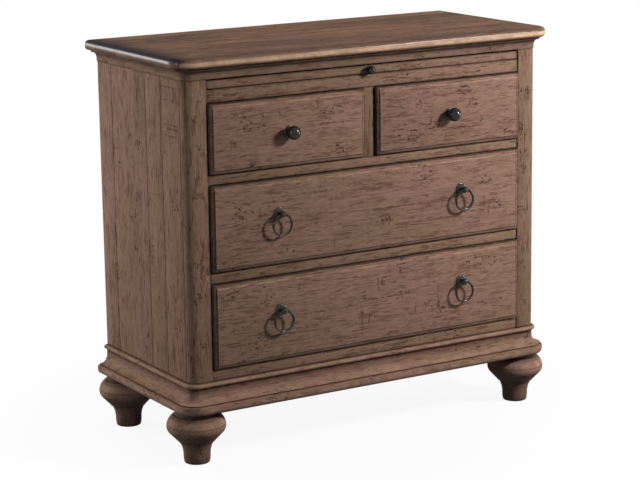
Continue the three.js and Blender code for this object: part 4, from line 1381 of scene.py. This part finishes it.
class CHEST_OT_top(bpy.types.Operator):
    """Make the top board with its soft, rubbed nosing, with a painted highlight and painted shade"""
    bl_idname = "chest.top"
    bl_label = "Top board"

    def execute(self, context):
        sizes = context.scene.chest_sizes
        low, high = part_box("top_board")
        out = high.x - case_box()[1].x
        thickness = high.z - low.z
        half_round = (thickness - sizes.nosing_flat) / 2.0
        root = out - sizes.nosing_depth
        middle = (low.z + high.z) / 2.0
        flat = sizes.nosing_flat / 2.0
        under = arc((root, middle - flat), (sizes.nosing_depth, half_round), -90.0, 0.0, 8)
        over = arc((root, middle + flat), (sizes.nosing_depth, half_round), 0.0, 90.0, 14)
        rings = []
        # The wear of the nosing is also a painted highlight along its crest, and the glaze of the nosing
        # and of the face inside it is slate glaze and painted shade.
        for point in under + over:
            rub = crest_at((point[1] - low.z) / thickness, CREST_SHARE, CREST_REACH, CREST_HEIGHT)
            rings.append((point, NOSING_GLAZE_AND_SHADE, min(1.0, rub)))
        for inset, glaze in TOP_GLAZE_AND_SHADE:
            rings.append(((root - inset, high.z), glaze, 0.0))
        mesh = slab_with_edge(rings, high.y)
        self.vary_round(mesh, low, high, sizes)
        weather(mesh, sizes.wear_depth, sizes.wear_size, TOP_WEAR)
        show_piece(mesh, "top_board", top_wood())
        return {"FINISHED"}

    def vary_round(self, mesh, low, high, sizes):
        """Lays the nosing's wear and painted highlight mostly along the front and more towards the
        right, keeps the slate glaze and painted shade of the border mostly along the left and under
        the front edge, and notes where the nosing is polished."""
        glaze = [point.value for point in mesh.attributes["glaze"].data]
        rub = [point.value for point in mesh.attributes["rub"].data]
        polish = []
        for index, vertex in enumerate(mesh.vertices):
            place = vertex.co
            from_left = place.x - low.x
            from_right = high.x - place.x
            from_front = place.y - low.y
            along = from_left / (high.x - low.x)
            on_side = from_front > min(from_left, from_right)
            on_left = on_side and from_left < from_right
            rub[index] *= LEFT_WEAR_AND_HIGHLIGHT if on_left else FRONT_WEAR_AND_HIGHLIGHT + RIGHTWARD_HIGHLIGHT_GAIN * along
            border = LEFT_BORDER if on_left else FRONT_BORDER - RIGHTWARD_SHADE_LOSS * along
            inside = min(from_left, from_right, from_front) > sizes.nosing_depth
            height = (place.z - low.z) / (high.z - low.z)
            change, below, above = LEFT_NOSING if on_left else FRONT_NOSING
            nosing = below if height < change else above
            glaze[index] *= border if inside else nosing
            line = min(1.0, crest_at(height, POLISH_SHARE, POLISH_REACH, POLISH_HEIGHT))
            polish.append(0.0 if inside else line * (LEFT_POLISH if on_left else FRONT_POLISH))
        set_values(mesh, "glaze", glaze)
        set_values(mesh, "rub", rub)
        set_values(mesh, "polish", polish)


def slab_with_edge(rings, back_y):
    """A slab whose edge follows rings of (out, up) points round the front and both sides. Each
    ring also holds its glaze with painted shade and its wear with painted highlight."""
    radius = bpy.context.scene.chest_sizes.corner_radius
    low, high = case_box()
    left_corner, right_corner = front_corner(-1), front_corner(1)
    front_count = round((right_corner.x - left_corner.x) / SLAB_SPACING)
    side_count = round((back_y - right_corner.y) / SLAB_SPACING)
    vertices = []
    glaze_and_shades = []
    wear_and_highlights = []
    for (out, up), glaze, rub in rings:
        round_radius = max(radius + out, 0.0)
        inward = min(radius + out, 0.0)
        arcs = []
        for side, corner in ((-1, left_corner), (1, right_corner)):
            centre = Vector((corner.x, corner.y, up))
            shift = Vector((side * inward, -inward, 0.0))
            angles = [math.pi / 2.0 * step / SLAB_STEPS for step in range(SLAB_STEPS + 1)]
            turns = [Vector((side * math.sin(angle), -math.cos(angle), 0.0)) for angle in angles]
            arcs.append([centre + turn * round_radius + shift for turn in turns])
        left_arc, right_arc = arcs[0][::-1], arcs[1]
        left_back = Vector((low.x - out, back_y, up))
        right_back = Vector((high.x + out, back_y, up))
        ring = [left_back.lerp(left_arc[0], step / side_count) for step in range(side_count)]
        ring += left_arc
        ring += [
            left_arc[-1].lerp(right_arc[0], step / front_count) for step in range(1, front_count)]
        ring += right_arc
        ring += [
            right_arc[-1].lerp(right_back, step / side_count) for step in range(1, side_count + 1)]
        vertices.extend(ring)
        glaze_and_shades.extend([glaze] * len(ring))
        wear_and_highlights.extend([rub] * len(ring))
    count = len(ring)
    faces = []
    for level in range(len(rings) - 1):
        for step in range(count):
            following = (step + 1) % count
            first, second = level * count + step, level * count + following
            faces.append((first, second, second + count, first + count))
    last = (len(rings) - 1) * count
    faces.append(tuple(range(count - 1, -1, -1)))
    faces.append(tuple(range(last, last + count)))
    mesh = bpy.data.meshes.new("slab")
    mesh.from_pydata([vertex[:] for vertex in vertices], [], faces)
    set_values(mesh, "glaze", glaze_and_shades)
    set_values(mesh, "rub", wear_and_highlights)
    mesh.update()
    return mesh


# Glaze at the foot of the cove, and the painted shade that the way up to its head, under the
# top, adds
COVE_GLAZE = 0.12
COVE_SHADE_GAIN = 0.55


class CHEST_OT_cove(bpy.types.Operator):
    """Make the mitred cove moulding under the top"""
    bl_idname = "chest.cove"
    bl_label = "Cove moulding"

    def execute(self, context):
        sizes = context.scene.chest_sizes
        low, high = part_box("cove_frame_front")
        foot = (sizes.cove_foot, low.z + sizes.cove_foot_fillet)
        head = (sizes.cove_projection, high.z - sizes.cove_head_fillet)
        hollow = curve(foot, (foot[0], head[1]), head, 12)
        # The cove darkens towards its head and on its hidden faces with painted shade under the top.
        section = [(-sizes.moulding_depth, low.z, 0.6, 0.0), (sizes.cove_foot, low.z, 0.55, 0.0)]
        for out, up in hollow:
            share_up = (up - foot[1]) / (head[1] - foot[1])
            section.append((out, up, COVE_GLAZE + COVE_SHADE_GAIN * share_up ** 1.5, 0.0))
        section.append((sizes.cove_projection, high.z, 0.75, 0.0))
        section.append((-sizes.moulding_depth, high.z, 0.9, 0.0))
        for end, path in member_paths("cove_frame").items():
            node = f"cove_frame_{end}"
            wood = body_wood("x" if end == "front" else "y", "moulding")
            show_piece(moulding(section, path, wood), node, wood)
        return {"FINISHED"}


class CHEST_OT_case(bpy.types.Operator):
    """Finish the posts, rails, stile and side panels of the case"""
    bl_idname = "chest.case"
    bl_label = "Posts, rails and sides"

    def execute(self, context):
        upright = body_wood("z", "post", POSTS)
        level = body_wood("x")
        for index, node in enumerate(POSTS):
            worn_board(node, upright, POST_BOARDS + index)
        for index, node in enumerate(SIDES):
            worn_board(node, body_wood("z", "planks"), SIDE_BOARDS + index)
        for index, node in enumerate(("tray_rail", "middle_rail", "lower_rail")):
            worn_board(node, level, RAIL_BOARDS + index)
        worn_board("centre_stile", upright, STILE_BOARD)
        worn_board("case_bottom", level, BOTTOM_BOARD)
        return {"FINISHED"}


class CHEST_OT_inner_panels(bpy.types.Operator):
    """Give the back, the inner panels and the back of the cove frame a plain sanded finish"""
    bl_idname = "chest.inner_panels"
    bl_label = "Inner panels"

    def execute(self, context):
        sizes = context.scene.chest_sizes
        wood = plain_wood("panel", "x")
        panels = ("back_panel", "tray_shelf", "upper_dust_panel", "lower_dust_panel", "base_board")
        for index, node in enumerate(panels):
            worn_board(node, wood, INNER_BOARDS + index)
        low, high = case_box()
        behind = sizes.moulding_depth + sizes.joint_gap
        ends = (low.x + behind, high.x - behind)
        worn_board("cove_frame_back", wood, COVE_BACK_BOARD, ends=ends)
        return {"FINISHED"}


class CHEST_OT_tray(bpy.types.Operator):
    """Finish the pull-out tray"""
    bl_idname = "chest.tray"
    bl_label = "Tray"

    def execute(self, context):
        for index, node in enumerate(("tray_board", "tray_lip")):
            worn_board(node, body_wood("x"), TRAY_BOARDS + index)
        return {"FINISHED"}


class CHEST_OT_drawer_fronts(bpy.types.Operator):
    """Finish the moulded and raised drawer fronts"""
    bl_idname = "chest.drawer_fronts"
    bl_label = "Drawer fronts"

    def execute(self, context):
        for index, drawer in enumerate(DRAWERS):
            node = f"{drawer}_front"
            wood = body_wood("x", "drawer", (node,))
            worn_board(node, wood, DRAWER_BOARDS + index, ease=FRONT_EASE, moulded=True)
        return {"FINISHED"}


class CHEST_OT_drawer_boxes(bpy.types.Operator):
    """Give the dovetailed drawer boxes their pale finish"""
    bl_idname = "chest.drawer_boxes"
    bl_label = "Drawer boxes"

    def execute(self, context):
        for index, drawer in enumerate(DRAWERS):
            for part, axis in (("left_side", "y"), ("right_side", "y"), ("back", "x"), ("bottom", "x")):
                board = BOX_BOARDS + index * 4.0 + len(part)
                worn_board(f"{drawer}_{part}", plain_wood("box", axis), board, ease=BOX_EASE)
        return {"FINISHED"}


# Bead: middle and reach of its rubbed crest and reach of the glaze at its two edges, as shares of
# its height, and the strength of both
BEAD_CREST = (0.62, 0.3)
BEAD_GLAZE_REACH = 0.16
BEAD_GLAZE = 0.8
BEAD_RUB = 0.6

# Round of the base: the same, with its crest worn and given a painted highlight, and its glaze,
# painted shade on the underside, falling off from the foot
ROUND_CREST = (0.58, 0.42)
ROUND_UNDER_SHADE_FALL = 3.0
ROUND_UNDER_SHADE = 0.20
ROUND_WEAR_AND_HIGHLIGHT = 0.75

# Hollow of the base: most painted shade, at its head under the bead, and most painted highlight,
# at its foot
HOLLOW_HEAD_SHADE = 0.45
HOLLOW_FOOT_HIGHLIGHT = 0.70


class CHEST_OT_plinth(bpy.types.Operator):
    """Make the bead and the mitred base moulding"""
    bl_idname = "chest.plinth"
    bl_label = "Plinth"

    def execute(self, context):
        sizes = context.scene.chest_sizes
        self.make_bead(sizes)
        self.make_base(sizes)
        return {"FINISHED"}

    def make_bead(self, sizes):
        """The bead board: one piece, so that its path runs round both corners."""
        low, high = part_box("bead_board")
        radius = (high.z - low.z) / 2.0
        depth = sizes.bead_projection - sizes.bead_flat
        round_edge = arc((sizes.bead_flat, low.z + radius), (depth, radius), -90.0, 90.0, 16)
        rings = []
        for index, point in enumerate(round_edge):
            share_up = index / (len(round_edge) - 1)
            crest = crest_at(share_up, *BEAD_CREST)
            glaze = max(0.0, 1.0 - min(share_up, 1.0 - share_up) / BEAD_GLAZE_REACH)
            rings.append((point, BEAD_GLAZE * glaze, BEAD_RUB * crest))
        mesh = slab_with_edge(rings, high.y)
        weather(mesh, sizes.wear_depth, sizes.wear_size, BEAD_WEAR)
        show_piece(mesh, "bead_board", body_wood("x", "plinth"))

    def make_base(self, sizes):
        """Base mouldings: a heavy round under a quirk and a wide cove."""
        low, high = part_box("base_moulding_front")
        foot_z = low.z
        round_top = foot_z + sizes.base_round
        cove_foot = round_top + sizes.quirk_height
        cove_head = cove_foot + sizes.base_cove
        quirk_out = sizes.base_projection - sizes.quirk_depth * 2.0
        widest = foot_z + sizes.base_round * 2.0 / 3.0
        under = curve((sizes.base_under, foot_z), (sizes.base_projection, foot_z + sizes.quirk_depth),
                      (sizes.base_projection, widest), 10)
        over = curve((sizes.base_projection, widest), (sizes.base_projection, round_top),
                     (quirk_out + sizes.quirk_depth, round_top), 10)
        hollow = curve((quirk_out, cove_foot), (sizes.base_neck, cove_foot),
                       (sizes.base_neck, cove_head), 16)
        # Glaze in the quirk, painted shade under the round and under the bead at the cove's head, wear
        # and a painted highlight on the round's crest, and a painted highlight at the cove's foot.
        section = [(-sizes.moulding_depth + sizes.joint_gap, foot_z, 0.7, 0.0)]
        for out, up in [*under[:-1], *over]:
            share_up = (up - foot_z) / sizes.base_round
            crest = crest_at(share_up, *ROUND_CREST)
            glaze = ROUND_UNDER_SHADE * max(0.0, 1.0 - ROUND_UNDER_SHADE_FALL * share_up)
            section.append((out, up, glaze, ROUND_WEAR_AND_HIGHLIGHT * crest))
        section.append((quirk_out - sizes.quirk_depth, round_top + sizes.quirk_height / 2.0, 0.80, 0.0))
        section.append((quirk_out, cove_foot, 0.35, 0.10))
        for out, up in hollow[1:]:
            share_down = (cove_head - up) / sizes.base_cove
            glaze = HOLLOW_HEAD_SHADE * (1.0 - share_down) ** 3
            section.append((out, up, glaze, HOLLOW_FOOT_HIGHLIGHT * share_down ** 3))
        section.append((sizes.base_neck, high.z, 0.95, 0.0))
        section.append((-sizes.moulding_depth + sizes.joint_gap, high.z, 0.95, 0.0))
        for end, path in member_paths("base_moulding").items():
            node = f"base_moulding_{end}"
            wood = body_wood("x" if end == "front" else "y", "plinth")
            mesh = moulding(section, path, wood)
            weather(mesh, sizes.wear_depth, sizes.wear_size, BASE_WEAR)
            show_piece(mesh, node, wood)


class CHEST_OT_feet(bpy.types.Operator):
    """Turn the four bun feet"""
    bl_idname = "chest.feet"
    bl_label = "Feet"

    def execute(self, context):
        sizes = context.scene.chest_sizes
        wood = body_wood("z", "turned")
        for index, node in enumerate(FEET):
            low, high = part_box(node)
            middle = (low + high) / 2.0
            place = Vector((middle.x, middle.y, 0.0))
            mesh = turned_piece(foot_section(sizes, high.z), wood, place, FOOT_STEPS)
            weather(mesh, sizes.wear_depth, sizes.wear_size, FOOT_WEAR + index)
            board = FOOT_BOARDS + index * FOOT_BOARD_STEP
            set_values(mesh, "board", [board] * len(mesh.vertices))
            show_piece(mesh, node, wood)
        return {"FINISHED"}


# Steps up a bun where a fine turned line holds dark glaze
FOOT_LINES = (1, 10)


def foot_section(sizes, tenon_top):
    """Half section of a foot, from the sole up to the end of its tenon. Its glaze is glaze in
    the quirks and mostly painted shade on the sole, the shaft, under the bun and up to the neck,
    and the bun's upper crest carries wear with a painted highlight.
    """
    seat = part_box("base_board")[0].z - sizes.joint_gap
    neck_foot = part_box("base_board")[0].z - sizes.neck_height
    bun_height = neck_foot - sizes.bun_crown
    reach = sizes.bun_radius - sizes.bun_core
    crown = math.degrees(math.asin(sizes.bun_crown / sizes.bun_rise))
    flare_height = (sizes.shaft_height + sizes.shoulder_height) / 2.0
    lip_radius = sizes.shoulder_radius + sizes.foot_lip
    flat_sole = (sizes.sole_radius - sizes.sole_edge, 0.0)
    sole_edge = (sizes.sole_radius, sizes.sole_edge)
    shaft_head = (sizes.shaft_radius, sizes.shaft_height)
    # Painted shade on the sole and the shaft, under the bun.
    section = marked([(0.0, 0.0), flat_sole], 0.9)
    section += marked(curve(flat_sole, (sizes.sole_radius, 0.0), sole_edge, 4)[1:], 0.75)
    section += marked(
        curve(sole_edge, (sizes.shaft_radius, sizes.shaft_height / 2.0), shaft_head, 5)[1:], 0.50)
    section += marked(
        curve(shaft_head, (sizes.shaft_radius, flare_height),
              (sizes.shoulder_radius, sizes.shoulder_height), 9)[1:], 0.42, 0.05)
    section.append((lip_radius, sizes.shoulder_height, 0.25, 0.5))
    quirk = (lip_radius + sizes.foot_lip * 0.2, sizes.shoulder_height + sizes.foot_lip * 0.4)
    section.append((*quirk, 0.85, 0.0))
    under = arc((sizes.bun_radius - sizes.bun_under, bun_height), (sizes.bun_under, sizes.bun_under),
                -45.0, 0.0, 10)
    upper = arc((sizes.bun_core, bun_height), (reach, sizes.bun_rise), 0.0, crown, 14)
    # Painted shade on the underside of the bun, fading towards its widest circle.
    slope_start = section[-1][:2]
    for step in range(1, 6):
        share_up = step / 6.0
        out = slope_start[0] + (under[0][0] - slope_start[0]) * share_up
        up = slope_start[1] + (under[0][1] - slope_start[1]) * share_up
        section.append((out, up, 0.48 - 0.12 * share_up, 0.0))
    for index, (out, up) in enumerate(under):
        section.append((out, up, 0.26 - 0.022 * index, 0.02 * index))
    # Wear with a painted highlight on the bun's upper crest, then painted shade rising to the neck.
    for index, (out, up) in enumerate(upper[1:]):
        crest = crest_at(index, 4.0, 4.0)
        line = 0.55 if index in FOOT_LINES else 0.0
        section.append((out, up, max(line, -1.0 + index * 0.13), 0.20 + 0.50 * crest))
    waist = min(upper[-1][0], sizes.neck_radius) - sizes.foot_lip
    section.append((waist, neck_foot + sizes.foot_lip / 2.0, 0.95, 0.0))
    section.append((sizes.neck_radius, neck_foot + sizes.foot_lip, 0.6, 0.2))
    section.append((sizes.neck_radius, seat, 0.7, 0.0))
    tenon = [(sizes.tenon_radius, seat), (sizes.tenon_radius, tenon_top), (0.0, tenon_top)]
    return section + marked(tenon, 0.0)


def seat_of(node):
    """Where a knob or a post stands: the middle of its node's back, clear of the front."""
    low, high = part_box(node)
    seat = high.y + bpy.context.scene.chest_sizes.joint_gap
    return Vector(((low.x + high.x) / 2.0, seat, (low.z + high.z) / 2.0))


def rosette(seat, radius, edge_foot, thickness, neck):
    """Half section of a disc with a rounded edge, up to the neck that stands on it."""
    rounded = curve((radius, edge_foot), (radius, thickness), (neck, thickness), 8)
    return [(0.0, seat, 0.0, 0.0), (radius, seat, 0.0, 0.3), *marked(rounded, 0.0, 0.35)]


class CHEST_OT_knobs(bpy.types.Operator):
    """Turn the ball knobs of the small drawers and the tray"""
    bl_idname = "chest.knobs"
    bl_label = "Knobs"

    def execute(self, context):
        sizes = context.scene.chest_sizes
        metal = dark_metal()
        for drawer in SMALL_DRAWERS:
            self.make_knob(sizes, metal, f"{drawer}_knob", 1.0)
        self.make_knob(sizes, metal, "tray_knob", sizes.tray_knob_share)
        return {"FINISHED"}

    def make_knob(self, sizes, metal, node, size_share):
        """One knob, turned about the middle of its node's box and facing the front."""
        section = [
            (out * size_share, max(up * size_share, sizes.joint_gap), glaze, rub)
            for out, up, glaze, rub in knob_section(sizes)]
        mesh = turned_piece(section, metal, seat_of(node), KNOB_STEPS, OUTWARDS)
        show_piece(mesh, node, metal, "turned")


def knob_section(sizes):
    """Half section of a ball knob: rosette, neck and ball."""
    disc = sizes.knob_rosette_thickness
    foot = math.degrees(math.asin(sizes.knob_neck / sizes.knob_ball)) - 90.0
    tip = 90.0 - math.degrees(math.asin(sizes.knob_tip / sizes.knob_ball))
    ball = arc((0.0, sizes.knob_stand_off), (sizes.knob_ball, sizes.knob_ball), foot, tip, 26)
    section = rosette(0.0, sizes.knob_rosette, disc / 2.0, disc, sizes.knob_neck)
    section += marked(ball, 0.0, 0.10)
    section.append((0.0, ball[-1][1], 0.0, 0.1))
    return section


# Most wear of a ring, at its lowest point
RING_RUB = 0.6


class CHEST_OT_ring_pulls(bpy.types.Operator):
    """Make the bored posts and the rings that hang in them"""
    bl_idname = "chest.ring_pulls"
    bl_label = "Ring pulls"

    def execute(self, context):
        sizes = context.scene.chest_sizes
        metal = dark_metal()
        for drawer in LONG_DRAWERS:
            for end in ("left", "right"):
                self.make_post(sizes, metal, f"{drawer}_{end}_pull_post")
                self.make_ring(sizes, metal, f"{drawer}_{end}_pull_ring")
        return {"FINISHED"}

    def make_post(self, sizes, metal, node):
        """Rosette, neck and a ball bored across for the ring."""
        disc = sizes.pull_rosette_thickness
        foot = math.degrees(math.asin(sizes.pull_neck / sizes.pull_ball)) - 90.0
        section = rosette(
            sizes.joint_gap, sizes.pull_rosette, disc / 3.0, disc, sizes.pull_neck)
        ball = arc(
            (0.0, sizes.pull_stand_off), (sizes.pull_ball, sizes.pull_ball), foot, 90.0, 20)
        section += marked([*ball[:-1], (0.0, ball[-1][1])], 0.0, 0.15)
        bore = (sizes.ring_wire + sizes.eye_clearance, sizes.pull_stand_off, sizes.pull_ball * 4.0)
        mesh = turned_piece(section, metal, seat_of(node), POST_STEPS, OUTWARDS, bore)
        show_piece(mesh, node, metal, "turned")

    def make_ring(self, sizes, metal, node):
        """One ring, hanging straight down, rubbed where it is gripped."""
        low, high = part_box(node)
        carrier = add_object("ring", bpy.data.meshes.new("ring"))
        mesh = run_tree(carrier, once("Pull ring", build_ring_tree), {
            "Radius": sizes.ring_radius, "Wire": sizes.ring_wire,
            "Place": (low + high) / 2.0, "Material": metal})
        face_outwards(mesh)
        set_values(mesh, "rub", [
            max(0.0, 1.0 - (vertex.co.z - low.z) / sizes.ring_radius) * RING_RUB
            for vertex in mesh.vertices])
        show_piece(mesh, node, metal)


# Lamps: name, place, the place they face, width, and the setting that holds their power
LAMPS = (
    ("key_lamp", (1.38, -1.72, 1.64), (0.10, -0.18, 0.48), 0.36, "key_power"),
    ("side_lamp", (1.75, -0.85, 0.60), (0.20, -0.19, 0.42), 0.60, "side_power"),
    ("corner_lamp", (-2.60, -0.42, 1.05), (-0.42, -0.16, 0.42), 0.60, "corner_power"),
    ("fill_lamp", (-1.75, 2.05, 0.95), (-0.43, 0.0, 0.45), 1.20, "fill_power"),
)

# Width of the camera's sensor in millimetres
SENSOR_WIDTH = 36.0

# The floor: how far it reaches, the distances between which it fades, and how white it is at first
FLOOR_REACH = 8.0
FADE_START = 0.35
FADE_END = 0.95
LEAST_FADE = 0.91

WHITE = (1.0, 1.0, 1.0)


def seen_or_mirrored(tree):
    """Full for what the camera sees, straight or in metal, polish or glass, and none otherwise."""
    path = add_node(tree, "ShaderNodeLightPath").outputs
    seen = calc(tree, "MAXIMUM", path["Is Camera Ray"], path["Is Glossy Ray"])
    return calc(tree, "MAXIMUM", seen, path["Is Transmission Ray"])


class CHEST_OT_stage(bpy.types.Operator):
    """Set the camera, the lamps, the pale floor and the white surroundings"""
    bl_idname = "chest.stage"
    bl_label = "Stage"

    def execute(self, context):
        stage = context.scene.chest_stage
        context.scene.view_settings.view_transform = "Standard"
        self.set_camera(context, stage)
        self.set_lamps(stage)
        self.set_floor(stage)
        self.set_sky(context, stage)
        return {"FINISHED"}

    def set_camera(self, context, stage):
        """Camera at the photograph's viewing angle."""
        turn, tilt, roll = stage.camera_turn, stage.camera_tilt, stage.camera_roll
        forward = Vector((
            math.sin(turn) * math.cos(tilt), math.cos(turn) * math.cos(tilt), -math.sin(tilt)))
        level = Vector((math.cos(turn), -math.sin(turn), 0.0))
        down = forward.cross(level)
        right = level * math.cos(roll) + down * math.sin(roll)
        up = level * math.sin(roll) - down * math.cos(roll)
        data = bpy.data.cameras.new("camera")
        data.lens = stage.camera_lens
        data.sensor_width = SENSOR_WIDTH
        camera = add_object("camera", data)
        turned = Matrix((right, up, -forward)).transposed().to_4x4()
        camera.matrix_world = Matrix.Translation(stage.camera_place) @ turned
        context.scene.camera = camera

    def set_lamps(self, stage):
        """A small key lamp at the front right, soft ones at the sides and a broad fill behind."""
        for name, place, target, size, power_name in LAMPS:
            data = bpy.data.lights.new(name, "AREA")
            data.size = size
            data.energy = getattr(stage, power_name)
            lamp = add_object(name, data)
            lamp.location = place
            lamp.rotation_mode = "QUATERNION"
            lamp.rotation_quaternion = (Vector(target) - Vector(place)).to_track_quat("-Z", "Y")

    def set_floor(self, stage):
        """A pale floor that fades to white away from the chest."""
        mesh = bpy.data.meshes.new("floor")
        signs = ((-1, -1), (1, -1), (1, 1), (-1, 1))
        corners = [(x * FLOOR_REACH, y * FLOOR_REACH, 0.0) for x, y in signs]
        mesh.from_pydata(corners, [], [(0, 1, 2, 3)])
        material, tree, shader = finish_tree("floor")
        shader.inputs["Roughness"].default_value = FLOOR_ROUGHNESS
        shader.inputs["Specular IOR Level"].default_value = FLOOR_SPECULAR
        seen = seen_or_mirrored(tree)
        base = blend_colours(tree, seen, stage.floor_bounce, stage.floor_colour)
        feed(tree, shader.inputs["Base Color"], base)
        place = add_node(tree, "ShaderNodeTexCoord").outputs["Object"]
        away = add_node(tree, "ShaderNodeVectorMath", {0: place}, operation="LENGTH").outputs["Value"]
        fade = between(tree, away, FADE_START, FADE_END, LEAST_FADE, 1.0)
        fade = calc(tree, "MULTIPLY", fade, seen)
        white = add_node(
            tree, "ShaderNodeEmission", {"Color": screen_colour(WHITE), "Strength": 1.0})
        mixed = add_node(
            tree, "ShaderNodeMixShader", {0: fade, 1: shader.outputs[0], 2: white.outputs[0]})
        feed(tree, tree.nodes["Material Output"].inputs["Surface"], mixed.outputs[0])
        mesh.materials.append(material)
        add_object("floor", mesh)

    def set_sky(self, context, stage):
        """White where it is seen, and an even, weaker light otherwise."""
        world = bpy.data.worlds.new("sky")
        world.use_nodes = True
        tree = world.node_tree
        background = tree.nodes["Background"]
        seen = seen_or_mirrored(tree)
        level = between(tree, seen, 0.0, 1.0, stage.sky_level, 1.0)
        feed(tree, background.inputs["Color"], blend_colours(tree, seen, stage.sky_tint, WHITE))
        feed(tree, background.inputs["Strength"], level)
        context.scene.world = world


class CHEST_PT_panel(bpy.types.Panel):
    """Sidebar panel with the chest's settings and steps"""
    bl_idname = "CHEST_PT_panel"
    bl_label = "Bachelor's chest"
    bl_space_type = "VIEW_3D"
    bl_region_type = "UI"
    bl_category = "Chest"

    def draw(self, context):
        layout = self.layout
        for group in (context.scene.chest_sizes, context.scene.chest_finish, context.scene.chest_stage):
            box = layout.box()
            for name in group.bl_rna.properties.keys():
                if name not in {"rna_type", "name"}:
                    box.prop(group, name, text=name.replace("_", " ").capitalize())
        for operator in OPERATORS:
            layout.operator(operator.bl_idname)


OPERATORS = (
    CHEST_OT_top, CHEST_OT_cove, CHEST_OT_case, CHEST_OT_inner_panels, CHEST_OT_tray,
    CHEST_OT_drawer_fronts, CHEST_OT_drawer_boxes, CHEST_OT_plinth, CHEST_OT_feet,
    CHEST_OT_knobs, CHEST_OT_ring_pulls, CHEST_OT_stage,
)
SETTINGS = (
    ("chest_sizes", ChestSizes), ("chest_finish", ChestFinish), ("chest_stage", StageSettings),
)


def register():
    """Registers the settings, the operators and the panel."""
    for name, group in SETTINGS:
        bpy.utils.register_class(group)
        setattr(bpy.types.Scene, name, bpy.props.PointerProperty(type=group))
    for operator in OPERATORS:
        bpy.utils.register_class(operator)
    bpy.utils.register_class(CHEST_PT_panel)


def unregister():
    """Takes everything out again."""
    bpy.utils.unregister_class(CHEST_PT_panel)
    for operator in reversed(OPERATORS):
        bpy.utils.unregister_class(operator)
    for name, group in reversed(SETTINGS):
        delattr(bpy.types.Scene, name)
        bpy.utils.unregister_class(group)


def main():
    """Builds every piece in order."""
    register()
    for operator in OPERATORS:
        family, step = operator.bl_idname.split(".")
        getattr(getattr(bpy.ops, family), step)()


if __name__ == "__main__":
    main()
